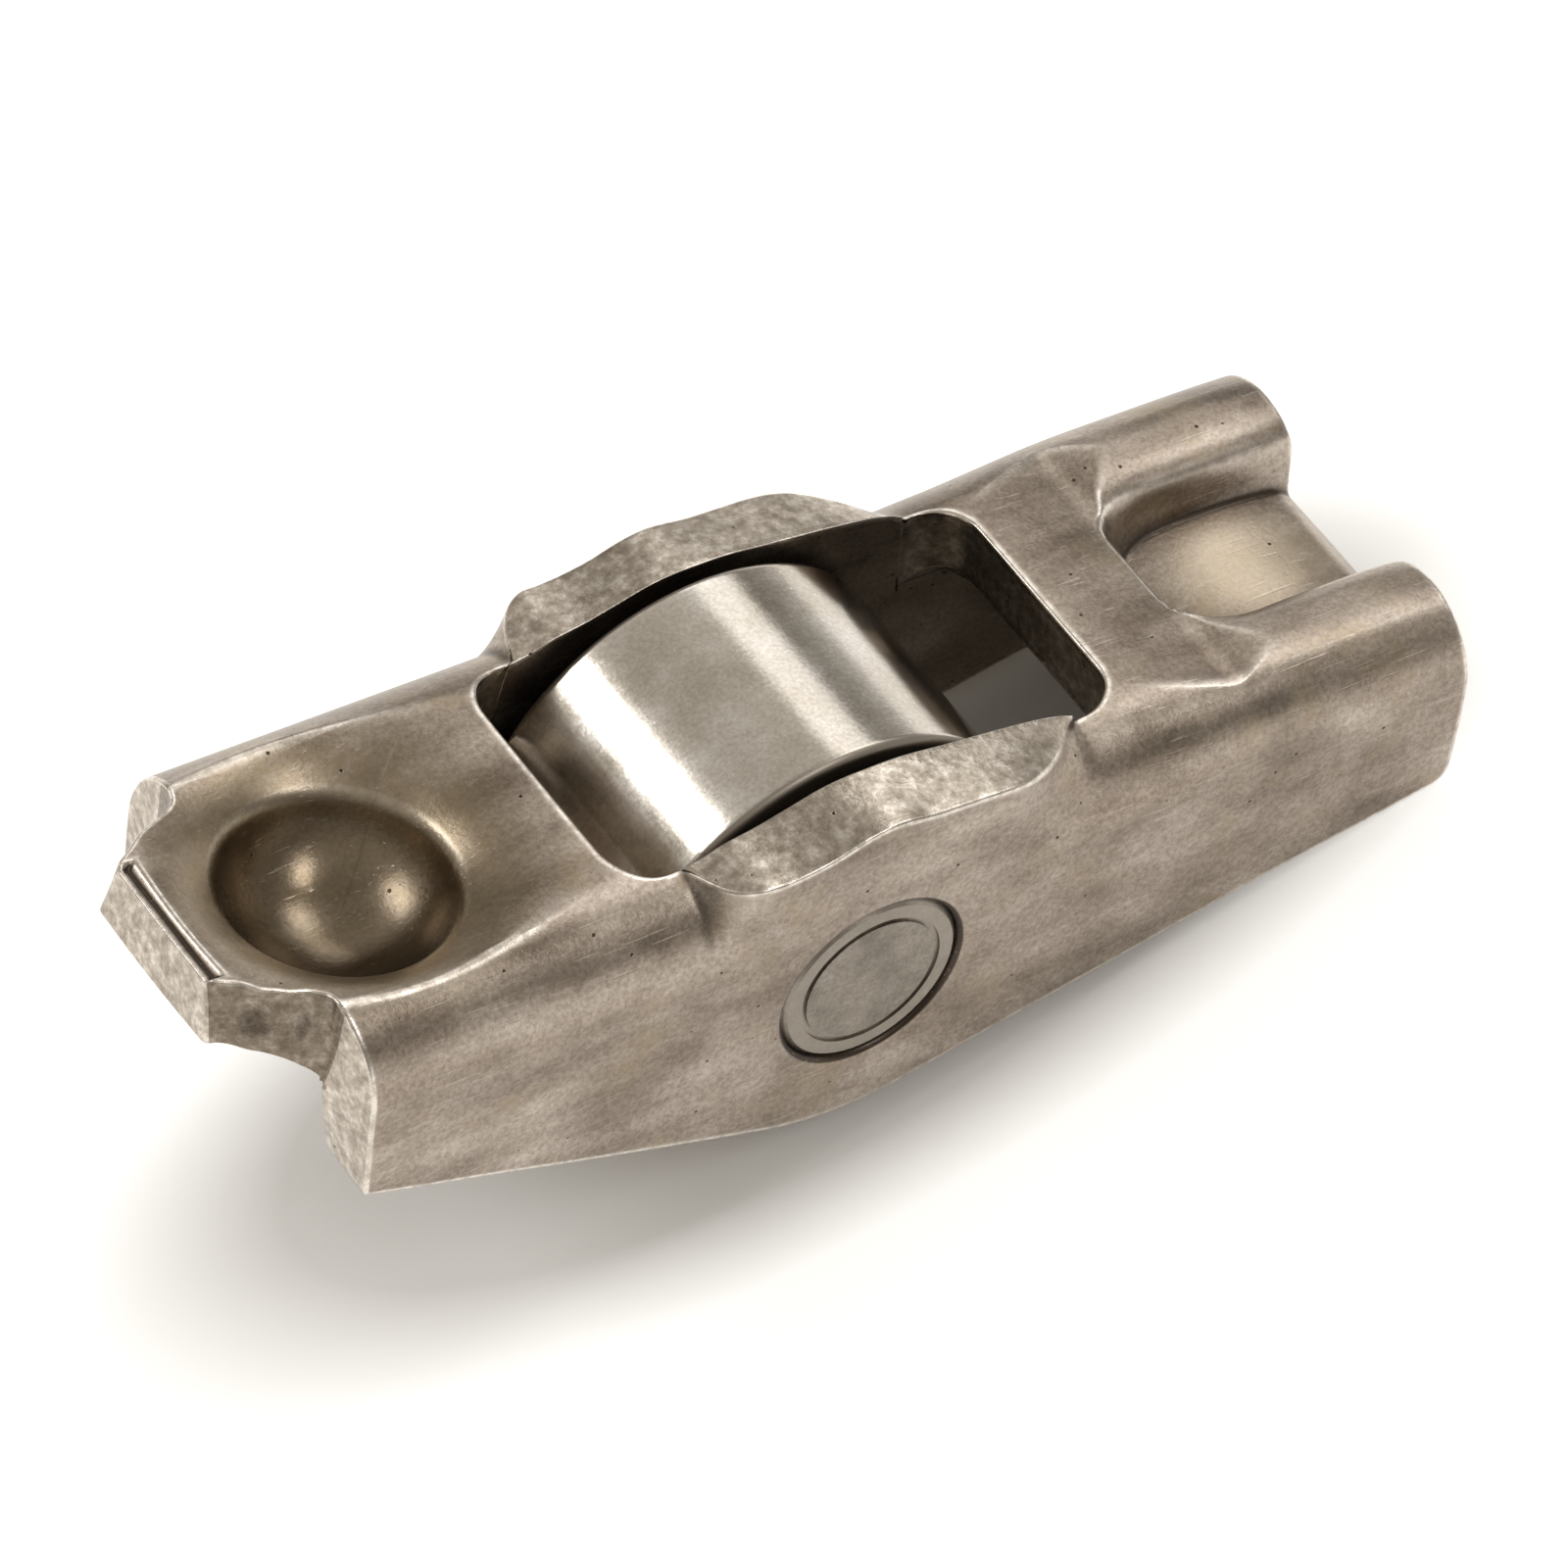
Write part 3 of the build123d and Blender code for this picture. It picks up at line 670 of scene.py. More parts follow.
def face_normals(face, sign):
    """Unit normals of a face, from the cross product of the grid's two directions. Points in the
    window aren't on the sheet: there each row next to the window's outline is first swapped for
    the mirror image of the row on its other side."""
    low_i, high_i, low_j, high_j = window_block
    face = face.copy()
    rows, lines = slice(low_i, high_i + 1), slice(low_j, high_j + 1)
    face[rows, high_j - 1] = 2 * face[rows, high_j] - face[rows, high_j + 1]
    face[rows, low_j + 1] = 2 * face[rows, low_j] - face[rows, low_j - 1]
    face[high_i - 1, lines] = 2 * face[high_i, lines] - face[high_i + 1, lines]
    face[low_i + 1, lines] = 2 * face[low_i, lines] - face[low_i - 1, lines]
    return sign * unit(np.cross(np.gradient(face, axis=0), np.gradient(face, axis=1)))


def edge_out(face, normal, i, j, inwards):
    """Unit vectors that lie in the face and point out over its edge, square to the edge's run."""
    edge = face[i, j]
    run = unit(np.roll(edge, -1, axis=0) - np.roll(edge, 1, axis=0))
    out = unit(np.cross(normal[i, j], run))
    from_sheet = edge - face[i + inwards[0], j + inwards[1]]
    return out * np.sign((out * from_sheet).sum(-1, keepdims=True) + 1e-12)


# %% Edge bands
TORN = [(-22.95, -3.85, 1.0, 0.3), (-21.4, -4.45, 0.7, 0.26)]  # x, y, radius, depth
EAR_FEET = (-7.45, 8.95)
FOOT_REACH = 0.8
FOOT_CLEAR = (0.1, 0.6)  # the cut's mark is off this near a foot, and grows over this length


def hollows(x, y, share):
    """How deep the band is torn: each hollow fades from its middle to its radius, and is deepest a
    third of the way down the band, with nothing at the band's two edges."""
    deep = sum(depth * (1 - ease(np.hypot(x - mid_x, y - mid_y) / radius))
               for mid_x, mid_y, radius, depth in TORN)
    return deep[:, None] * (ease(share / 0.3) * (1 - ease((share - 0.35) / 0.45)))


def add_edge(block, material_side):
    """Closes the skin along one cut outline. material_side is 1 where the sheet lies inside the
    block, as at the blank's outline, and -1 where it lies outside, as at the window."""
    i, j = border(*block)
    low_i, high_i, low_j, high_j = block
    inwards = (material_side * ((i == low_i).astype(int) - (i == high_i)),
               material_side * ((j == low_j).astype(int) - (j == high_j)))
    upper_edge, lower_edge = OUTER[i, j], INNER[i, j]
    upper_out = edge_out(OUTER, outer_normal, i, j, inwards)
    upper_corner = upper_edge + EDGE_ROUND * upper_out
    from_foot = np.abs(lower_edge[:, :1] - np.array(EAR_FEET)).min(axis=1)
    own = ease(from_foot / FOOT_REACH)[:, None] if material_side < 0 else 1.0
    lower_corner = lower_edge + EDGE_BURR * (own * edge_out(INNER, inner_normal, i, j, inwards)
                                             + (1 - own) * unit(upper_corner - lower_edge))
    down = unit(lower_corner - upper_corner)
    t = np.linspace(0, 1, 5)[1:, None, None]
    upper = round_turn(upper_edge, upper_corner, upper_corner + EDGE_ROUND * down, t)
    lower = round_turn(lower_edge, lower_corner, lower_corner - EDGE_BURR * down, t)[::-1]
    share = np.linspace(0, 1, 10)[1:-1, None, None]
    band = upper[-1] + (lower[0] - upper[-1]) * share
    band = band - upper_out * hollows(upper_edge[:, 0], upper_edge[:, 1], share)
    cut = np.concatenate((np.zeros(3), np.linspace(0.5, 1, len(band) + 2), np.zeros(3)))[:, None]
    cut = cut * np.clip((from_foot - FOOT_CLEAR[0]) / FOOT_CLEAR[1], 0, 1)
    rows = add_points(np.concatenate((upper, band, lower)), cut)
    add_bands(np.concatenate((outer_numbers[i, j][None], rows, inner_numbers[i, j][None])))
    print_box("cut edge:", band)


outer_normal = face_normals(OUTER, 1)
inner_normal = face_normals(INNER, -1)
add_edge([0, len(along) - 1, 0, len(across) - 1], 1)
add_edge(window_block, -1)

# %% [markdown]
# ## The arm's mesh
#
# The patches are now one list of points and one of faces. Points that only the left-out blocks
# used are dropped, and the rest goes into the mesh in one call. Recalculating the normals turns
# all the faces one way, and the sign of the volume says whether that is outwards. The new piece
# rides on the arm's body and stands for the exact model's arm.

# %% Mesh of the arm
def new_piece(name, corners, faces, body):
    """A mesh object from points in the arm's axes, with its faces turned outwards."""
    mesh = bpy.data.meshes.new(name)
    mesh.from_pydata(to_frame(corners).tolist(), [], faces)
    work = bmesh.new()
    work.from_mesh(mesh)
    bmesh.ops.recalc_face_normals(work, faces=work.faces)
    if work.calc_volume(signed=True) < 0:
        bmesh.ops.reverse_faces(work, faces=work.faces)
    print(name, "faces", len(work.faces), "open edges", sum(not e.is_manifold for e in work.edges),
          "volume", round(work.calc_volume() * 1e9), "mm3")
    work.to_mesh(mesh)
    work.free()
    mesh.shade_smooth()
    piece = bpy.data.objects.new(name, mesh)
    bpy.context.scene.collection.objects.link(piece)
    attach(piece, body)
    return piece


all_points = np.concatenate(points)
all_quads = np.concatenate(quads)
all_tris = np.concatenate(tris)
used = np.unique(np.concatenate((all_quads.ravel(), all_tris.ravel())))
renumber = np.full(len(all_points), -1)
renumber[used] = np.arange(len(used))
all_faces = renumber[all_quads].tolist() + renumber[all_tris].tolist()
arm = new_piece("arm_sheet", all_points[used], all_faces, "arm")
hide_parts("arm_body")

# %% [markdown]
# ## How worn and how shaded each place is
#
# Tumbling rubs the high edges bright. The hollows are painted darker, as the shade that falls in
# them. The Geometry node's Pointiness shows edges too, but only as even as the faces are, and
# these faces differ a lot in size. So the mesh is asked directly: at a high edge a point stands out
# from the middle of its neighbours. That measure goes onto the points as an attribute, with the
# mark of the sheared bands beside it, and the steel's material reads both. Round the pin the stones
# don't reach, so the edge beside it isn't bright, and the gap is painted dark as shade.

# %% Wear and painted shade from the mesh
SMOOTHINGS = 2
HOLE_SHELTER = 4.6  # radius inside which nothing is rubbed bright
GAP_RADIUS = PIN_HOLE + 0.14
# The gap round the pin is painted dark as shade: its points get this low value.
GAP_SHADE = -0.6


def wear_and_shade_of(mesh):
    """How far each point stands out from its neighbours: the mean, over its edges, of the step
    along its normal divided by the edge's length squared, then evened out with its neighbours."""
    count = len(mesh.vertices)
    place = np.empty(count * 3)
    mesh.vertices.foreach_get("co", place)
    place = place.reshape(-1, 3)
    normal = np.empty(count * 3)
    mesh.vertex_normals.foreach_get("vector", normal)
    normal = normal.reshape(-1, 3)
    ends = np.empty(len(mesh.edges) * 2, int)
    mesh.edges.foreach_get("vertices", ends)
    first, second = ends.reshape(-1, 2).T
    both, other = np.concatenate((first, second)), np.concatenate((second, first))
    degree = np.bincount(both, minlength=count)
    gap = place[other] - place[both]
    length = np.linalg.norm(gap, axis=1)
    bend = -(gap * normal[both]).sum(1) / np.maximum(length, 1e-7) ** 2
    bend = np.bincount(both, bend, count) / degree
    for _ in range(SMOOTHINGS):
        bend = (bend + np.bincount(both, bend[other], count) / degree) / 2
    return bend * MM


def put_attribute(mesh, name, values):
    """Stores one number per point for the material to read."""
    layer = mesh.attributes.new(name, "FLOAT", "POINT")
    layer.data.foreach_set("value", np.asarray(values, np.float32))


wear_and_shade = wear_and_shade_of(arm.data)
from_pin = np.hypot(all_points[used, 0], all_points[used, 2])
wear_and_shade = np.where(from_pin < HOLE_SHELTER, np.minimum(wear_and_shade, 0), wear_and_shade)
wear_and_shade = np.where(from_pin < GAP_RADIUS, GAP_SHADE, wear_and_shade)
put_attribute(arm.data, "wear_and_shade", wear_and_shade)
put_attribute(arm.data, "sheared", np.concatenate(sheared)[used])
print("wear runs from", wear_and_shade.min().round(2), "to", wear_and_shade.max().round(2))

# %% [markdown]
# ## Finishes
#
# Every piece is bare steel, so all the materials are metals and differ in how they were made.
# Pictures of steel wrapped over the arm would stretch in the folds. Noise in the arm's own
# millimetres doesn't, and it turns with each piece. Colours are written as sRGB hex values, and
# one function turns them to linear. Another adds a node with its settings and links, so that each
# material reads from its patterns to its colour, its roughness and its relief.

# %% Colour and node helpers
def linear(code):
    """Linear RGBA from an sRGB hex string: c / 12.92 in the darkest tones, and above them
    ((c + 0.055) / 1.055)^2.4."""
    parts = [int(code[k:k + 2], 16) / 255 for k in (1, 3, 5)]
    return tuple(c / 12.92 if c <= 0.04045 else ((c + 0.055) / 1.055) ** 2.4
                 for c in parts) + (1.0,)


def add(tree, kind, inputs=None, stops=None, **settings):
    """Adds a node. inputs gives each socket, by its name or number, a value or the node or socket
    that feeds it. settings are the node's own. stops are the (place, hex colour) pairs of a colour
    ramp: the ramp's own two first, then those that are new."""
    node = tree.nodes.new(kind)
    for key, value in settings.items():
        setattr(node, key, value)
    for key, value in (inputs or {}).items():
        if isinstance(value, bpy.types.Node):
            value = value.outputs[0]
        if isinstance(value, bpy.types.NodeSocket):
            tree.links.new(value, node.inputs[key])
        else:
            node.inputs[key].default_value = value
    for k, (place, code) in enumerate(stops or ()):
        own = node.color_ramp.elements
        stop = own[k] if k < 2 else own.new(place)
        stop.position = place
        stop.color = linear(code)
    return node


print("white paper's colour in linear light:", [round(c, 3) for c in linear("#f4f3f1")])


# %% Material helpers
def new_material(name):
    """A node material, the tree to build in and its Principled shader."""
    material = bpy.data.materials.new(name)
    material.use_nodes = True
    tree = material.node_tree
    return material, tree, tree.nodes["Principled BSDF"]


def arm_millimetres(tree):
    """Object coordinates turned back to the arm's own axes, in millimetres, with the pin at the
    origin."""
    source = add(tree, "ShaderNodeTexCoord").outputs["Object"]
    moved = add(tree, "ShaderNodeMapping", {"Vector": source, "Location": tuple(-pin_place)})
    return add(tree, "ShaderNodeMapping",
               {"Vector": moved, "Rotation": (0, -pitch, 0), "Scale": (1 / MM,) * 3})


def finish_metal(tree, shader, colour, roughness, relief, strength, depth):
    """Makes the shader a metal's, with the socket that gives its colour and the nodes that give its
    roughness and its relief. depth is how high the relief stands, in millimetres."""
    bump = add(tree, "ShaderNodeBump",
               {"Height": relief, "Strength": strength, "Distance": depth * MM})
    shader.inputs["Metallic"].default_value = 1.0
    tree.links.new(colour, shader.inputs["Base Color"])
    tree.links.new(roughness.outputs[0], shader.inputs["Roughness"])
    tree.links.new(bump.outputs[0], shader.inputs["Normal"])


# %% [markdown]
# ## Tumbled case-hardened steel
#
# The arm is low-carbon sheet, rolled, carburised, hardened and tumbled with stones. Rolling leaves
# long faint streaks. Hardening leaves cloudy patches of a few millimetres and brown stains.
# Tumbling leaves a satin grain, short scratches, pits and bright edges. Each mark is one noise
# whose cell is as large as the mark, and a scratch is a noise stretched until only its peaks are
# kept. The colour is laid on in layers, from the sheet's grey up to the pits. Some layers are
# painted light and shade: the socket's bowl, the hollows and the cut in the notches are painted
# darker as shade, and the valve pad lighter as a highlight.

# %% Marks of the tumbled steel
MARKS = {  # mm along the arm and across it, turn, shift, octaves, roughness of the noise
    "clouds": (5, 1 / 0.3, (0, 0, 0), (0, 0, 0), 6, 0.62),
    "streaks": (1 / 0.14, 1 / 0.8, (0, 0, 0), (0, 0, 0), 3, 0.55),
    "stain": (1 / 0.3, 1 / 0.35, (0, 0, 0), (7, 3, 5), 5, 0.7),
    "speckle": (1 / 2.2, 1 / 2.2, (0, 0, 0), (0, 0, 0), 4, 0.7),
    # Real tumbling grain is a few hundredths of a millimetre, and scratches are finer still. Here
    # they are 0.18 and 0.13 mm wide, which is as coarse as the render needs to show them.
    "grain": (1 / 5.5, 1 / 5.5, (0, 0, 0), (0, 0, 0), 3, 0.75),
    "scratch": (1 / 0.35, 1 / 7, (0.3, 0.5, 0.6), (0, 0, 0), 1, 0.5),
    "cross scratch": (1 / 0.4, 1 / 8, (-0.4, -0.35, -0.5), (0, 0, 0), 1, 0.5),
}
PIT_SPACING = 1 / 1.1

material, tree, shader = new_material("tumbled_case_hardened_steel")
where = arm_millimetres(tree)
marks = {}
for name, (length, width, turn, shift, octaves, coarse) in MARKS.items():
    spot = add(tree, "ShaderNodeMapping", {"Vector": where, "Location": shift, "Rotation": turn,
                                           "Scale": (1 / length, 1 / width, 1 / width)})
    marks[name] = add(tree, "ShaderNodeTexNoise",
                      {"Vector": spot, "Scale": 1.0, "Detail": octaves, "Roughness": coarse})
longest = add(tree, "ShaderNodeMath", {0: marks["scratch"], 1: marks["cross scratch"]},
              operation="MAXIMUM")
scratched = add(tree, "ShaderNodeMapRange", {0: longest, 1: 0.69, 2: 0.78, 3: 0.0, 4: 1.0})

pits = add(tree, "ShaderNodeTexVoronoi", {"Vector": where, "Scale": 1 / PIT_SPACING})
pitted = add(tree, "ShaderNodeMapRange",
             {0: pits.outputs["Distance"], 1: 0.085, 2: 0.055, 3: 0.0, 4: 1.0})
chosen = add(tree, "ShaderNodeSeparateColor", {0: pits.outputs["Color"]})
some = add(tree, "ShaderNodeMath", {0: chosen.outputs[0], 1: 0.62}, operation="GREATER_THAN")
pit_share = add(tree, "ShaderNodeMath", {0: pitted, 1: some}, operation="MULTIPLY")
print("marks of the steel:", ", ".join(marks))

# %% Places on the arm that are rubbed, stained or cut, and places painted with shade and highlight
CUP_EDGE = (4.35, 4.05)             # radii between which the socket's smoother finish and its painted shade begin
DISH_STAIN = (7.0, 5.0)             # and the dish's stain
PAD_SPOT = (20.4, 3.6, 2.7)         # the pad's rubbed spot, smoother and painted lighter as a highlight: x, half length and half width
NOTCH_SHADE_SPOT = (-22.4, 1.75)          # where the cut in the notches is painted darker as shade: x and half length

from_cup = add(tree, "ShaderNodeMapping",
               {"Vector": where, "Location": (-CUP_X, 0, 0), "Scale": (1, 1, 0)})
cup_reach = add(tree, "ShaderNodeVectorMath", {0: from_cup}, operation="LENGTH").outputs["Value"]
# In the socket's bowl the colour is painted darker as shade, and the finish is smoother.
in_cup = add(tree, "ShaderNodeMapRange",
             {0: cup_reach, 1: CUP_EDGE[0], 2: CUP_EDGE[1], 3: 0.0, 4: 1.0})
in_dish = add(tree, "ShaderNodeMapRange",
              {0: cup_reach, 1: DISH_STAIN[0], 2: DISH_STAIN[1], 3: 0.0, 4: 1.0})
dish_stain = add(tree, "ShaderNodeMath", {0: in_dish, 1: marks["speckle"]}, operation="MULTIPLY")
stain_share = add(tree, "ShaderNodeMapRange",
                  {0: marks["stain"], 1: 0.54, 2: 0.72, 3: 0.0, 4: 0.55})
all_stain = add(tree, "ShaderNodeMath", {0: stain_share, 1: dish_stain}, operation="MAXIMUM")

pad_x, pad_length, pad_width = PAD_SPOT
pad_place = add(tree, "ShaderNodeMapping",
                {"Vector": where, "Location": (-pad_x / pad_length, 0, 0),
                 "Scale": (1 / pad_length, 1 / pad_width, 0)})
pad_reach = add(tree, "ShaderNodeVectorMath", {0: pad_place}, operation="LENGTH").outputs["Value"]
# On the pad the colour is painted lighter as a highlight, and the finish is smoother.
on_pad = add(tree, "ShaderNodeMapRange", {0: pad_reach, 1: 1.05, 2: 0.5, 3: 0.0, 4: 0.45})

wear_and_shade_here = add(tree, "ShaderNodeAttribute", attribute_name="wear_and_shade").outputs["Fac"]
rubbed = add(tree, "ShaderNodeMapRange", {0: wear_and_shade_here, 1: 0.06, 2: 0.6, 3: 0.0, 4: 0.75})
broken = add(tree, "ShaderNodeMapRange", {0: marks["speckle"], 1: 0.4, 2: 0.6, 3: 0.45, 4: 1.0})
bright = add(tree, "ShaderNodeMath", {0: rubbed, 1: broken}, operation="MULTIPLY")
# Hollows and the gap round the pin are painted darker as shade.
hollow_shade = add(tree, "ShaderNodeMapRange", {0: wear_and_shade_here, 1: -0.06, 2: -0.6, 3: 0.0, 4: 0.92})

cut_here = add(tree, "ShaderNodeAttribute", attribute_name="sheared").outputs["Fac"]
cut_share = add(tree, "ShaderNodeMapRange", {0: cut_here, 1: 0.1, 2: 0.5, 3: 0.0, 4: 1.0})
along_arm = add(tree, "ShaderNodeSeparateXYZ", {0: where}).outputs["X"]
in_notch = add(tree, "ShaderNodeMath", {0: along_arm, 1: NOTCH_SHADE_SPOT[0], 2: NOTCH_SHADE_SPOT[1]},
               operation="COMPARE")
notch_shade = add(tree, "ShaderNodeMath", {0: in_notch, 1: 0.85}, operation="MULTIPLY")
scratch_share = add(tree, "ShaderNodeMath", {0: scratched, 1: 0.2}, operation="MULTIPLY")

# %% Colour of the tumbled steel, layer by layer
base = add(tree, "ShaderNodeValToRGB", {0: marks["clouds"]},
           stops=[(0.32, "#8a7e72"), (0.68, "#c2b7ac"), (0.5, "#a89c90")])
streak_tone = add(tree, "ShaderNodeValToRGB", {0: marks["streaks"]},
                  stops=[(0.34, "#cdc8c2"), (0.62, "#ffffff"), (0.48, "#e9e6e2")])
grain_tone = add(tree, "ShaderNodeValToRGB", {0: marks["grain"]},
                 stops=[(0.34, "#a8a39c"), (0.64, "#ffffff")])
cut_tone = add(tree, "ShaderNodeValToRGB", {0: marks["speckle"]},
               stops=[(0.35, "#90867a"), (0.7, "#dcd4ca"), (0.52, "#b3a99c")])
# In the notches the cut band is painted darker as shade.
cut_tone = add(tree, "ShaderNodeMix", {0: notch_shade, 6: cut_tone, 7: linear("#a8a199")},
               data_type="RGBA", blend_type="MULTIPLY").outputs[2]
for share, tone, blend in (
        (0.6, streak_tone, "MULTIPLY"), (0.6, grain_tone, "MULTIPLY"),
        (all_stain, linear("#97876b"), "MIX"), (in_cup, linear("#dad8d5"), "MULTIPLY"),
        (on_pad, linear("#d9c9b0"), "MIX"), (bright, linear("#ece5dc"), "MIX"),
        (hollow_shade, linear("#3a332c"), "MIX"), (scratch_share, linear("#d0c8be"), "MIX"),
        (cut_share, cut_tone, "MIX"), (pit_share, linear("#3d352d"), "MIX")):
    base = add(tree, "ShaderNodeMix", {0: share, 6: base, 7: tone},
               data_type="RGBA", blend_type=blend).outputs[2]

# %% Sheen and relief of the tumbled steel
sheen = add(tree, "ShaderNodeMapRange", {0: marks["clouds"], 1: 0.3, 2: 0.7, 3: 0.22, 4: 0.33})
for share, change in ((marks["streaks"], 0.12), (bright, -0.14), (in_cup, -0.08), (on_pad, -0.12)):
    sheen = add(tree, "ShaderNodeMath", {0: share, 1: change, 2: sheen}, operation="MULTIPLY_ADD")
torn = add(tree, "ShaderNodeMapRange", {0: cut_here, 1: 0.6, 2: 0.8, 3: 0.4, 4: 3.5})
torn_here = add(tree, "ShaderNodeMath", {0: torn, 1: cut_share}, operation="MULTIPLY")
relief = marks["grain"]
for share, height in ((marks["streaks"], 1.4), (scratched, -0.6), (pit_share, -3.0),
                      (torn_here, marks["speckle"])):
    relief = add(tree, "ShaderNodeMath", {0: share, 1: height, 2: relief},
                 operation="MULTIPLY_ADD")
finish_metal(tree, shader, base, sheen, relief, 0.4, 0.02)
arm.data.materials.append(material)
print(material.name, "has", len(tree.nodes), "nodes")


# %% [markdown]
# ## Honed and lapped bearing steel
#
# The roller and the needles are bearing steel, ground and honed between centres: bright and nearly
# a mirror, with fine lines round the axis that blur each reflection a little. An anisotropic
# shader could do the lines, but it needs tangents that the exact model's mesh doesn't have, so a
# noise stretched round the axis gives them as relief. Real honing lines are a few thousandths of a
# millimetre apart. They are drawn 0.07 mm apart, as fine as the render can show. Past the ground
# width lie the chamfer and the side faces, which are only turned and look dull and dark.

# %% Ground steel
LINE_LENGTH, LINE_WIDTH = 1 / 0.6, 1 / 14
HAZE, GRIT, SPECK_SPACING = 1 / 0.35, 1 / 7, 1 / 1.6


def dress_node(name, material):
    """Gives a node of the exact model one material, in its object's slots."""
    for place in frame["nodes"][name].material_slots:
        place.material = material


def ground_steel(name, roughness, half_width):
    """The material for one piece: its roughness, and half the ground width in millimetres."""
    material, tree, shader = new_material(name)
    where = arm_millimetres(tree)
    line_place = add(tree, "ShaderNodeMapping", {
        "Vector": where, "Scale": (1 / LINE_LENGTH, 1 / LINE_WIDTH, 1 / LINE_LENGTH)})
    lines = add(tree, "ShaderNodeTexNoise",
                {"Vector": line_place, "Scale": 1.0, "Detail": 3.0, "Roughness": 0.7})
    haze = add(tree, "ShaderNodeTexNoise",
               {"Vector": where, "Scale": 1 / HAZE, "Detail": 4.0, "Roughness": 0.65})
    grit = add(tree, "ShaderNodeTexNoise",
               {"Vector": where, "Scale": 1 / GRIT, "Detail": 2.0, "Roughness": 0.6})
    specks = add(tree, "ShaderNodeTexVoronoi", {"Vector": where, "Scale": 1 / SPECK_SPACING})
    dotted = add(tree, "ShaderNodeMapRange",
                 {0: specks.outputs["Distance"], 1: 0.09, 2: 0.04, 3: 0.0, 4: 0.7})
    apart = add(tree, "ShaderNodeSeparateXYZ", {0: where})
    beside = add(tree, "ShaderNodeMath", {0: apart.outputs["Y"]}, operation="ABSOLUTE")
    turned_part = add(tree, "ShaderNodeMapRange",
                      {0: beside, 1: half_width - 0.03, 2: half_width + 0.03, 3: 0.0, 4: 1.0})

    base = add(tree, "ShaderNodeValToRGB", {0: haze}, stops=[(0.35, "#c3bbaf"), (0.65, "#dcd7d0")])
    grit_tone = add(tree, "ShaderNodeValToRGB", {0: grit},
                    stops=[(0.3, "#cfccc8"), (0.7, "#ffffff")])
    for share, tone, blend in ((0.6, grit_tone, "MULTIPLY"), (dotted, linear("#efece8"), "MIX"),
                               (turned_part, linear("#8d857b"), "MIX")):
        base = add(tree, "ShaderNodeMix", {0: share, 6: base, 7: tone},
                   data_type="RGBA", blend_type=blend).outputs[2]

    sheen = add(tree, "ShaderNodeMapRange",
                {0: haze, 1: 0.3, 2: 0.7, 3: roughness, 4: roughness + 0.07})
    sheen = add(tree, "ShaderNodeMath", {0: turned_part, 1: 0.25, 2: sheen},
                operation="MULTIPLY_ADD")
    relief = add(tree, "ShaderNodeMath", {0: grit, 1: 0.6, 2: lines}, operation="MULTIPLY_ADD")
    finish_metal(tree, shader, base, sheen, relief, 0.35, 0.01)
    return material


dress_node("roller_ring", ground_steel("honed_roller_steel", 0.13, 4.45))
needle_steel = ground_steel("lapped_needle_steel", 0.12, 4.9)
needle_names = [name for name in frame["nodes"] if name.startswith("needle")]
for name in needle_names:
    dress_node(name, needle_steel)
print("ground steel on the roller and on", len(needle_names), "needles")

# %% [markdown]
# ## The pin's staked end
#
# The pin is bearing steel, turned on its end faces and then spread against the hole with a
# ring-shaped punch. The disc in the middle keeps the turning's dull grey, and the punched ring
# outside it is a shade lighter. Both could be separate materials on separate faces, but the exact
# model's mesh is kept as it is, so the material finds the ring by the distance from the axis. The
# turning's grooves are a noise along that distance, 0.06 mm wide.

# %% Turned and staked steel
CLOUD_SIZE, GRAIN_SIZE, GROOVE = 1 / 0.7, 1 / 6, 1 / 16
PUNCHED_RING = (2.62, 2.7)

material, tree, shader = new_material("turned_and_staked_steel")
where = arm_millimetres(tree)
flat = add(tree, "ShaderNodeMapping", {"Vector": where, "Scale": (1, 0, 1)})
radius = add(tree, "ShaderNodeVectorMath", {0: flat}, operation="LENGTH").outputs["Value"]
clouds = add(tree, "ShaderNodeTexNoise",
             {"Vector": where, "Scale": 1 / CLOUD_SIZE, "Detail": 6.0, "Roughness": 0.7})
grain = add(tree, "ShaderNodeTexNoise",
            {"Vector": where, "Scale": 1 / GRAIN_SIZE, "Detail": 3.0, "Roughness": 0.65})
turning = add(tree, "ShaderNodeTexNoise", {"W": radius, "Scale": 1 / GROOVE, "Detail": 2.0},
              noise_dimensions="1D")
base = add(tree, "ShaderNodeValToRGB", {0: clouds}, stops=[(0.34, "#7e766c"), (0.66, "#a49c92")])
grain_tone = add(tree, "ShaderNodeValToRGB", {0: grain}, stops=[(0.3, "#b4b0ab"), (0.7, "#ffffff")])
base = add(tree, "ShaderNodeMix", {0: 0.6, 6: base, 7: grain_tone},
           data_type="RGBA", blend_type="MULTIPLY").outputs[2]
ring = add(tree, "ShaderNodeMapRange",
           {0: radius, 1: PUNCHED_RING[0], 2: PUNCHED_RING[1], 3: 0.0, 4: 0.5})
base = add(tree, "ShaderNodeMix", {0: ring, 6: base, 7: linear("#9a9288")},
           data_type="RGBA").outputs[2]
sheen = add(tree, "ShaderNodeMapRange", {0: clouds, 1: 0.3, 2: 0.7, 3: 0.32, 4: 0.44})
relief = add(tree, "ShaderNodeMath", {0: turning, 1: 0.5, 2: grain}, operation="MULTIPLY_ADD")
finish_metal(tree, shader, base, sheen, relief, 0.5, 0.02)
dress_node("axle_pin", material)
print("materials:", sorted(m.name for m in bpy.data.materials if m.users))

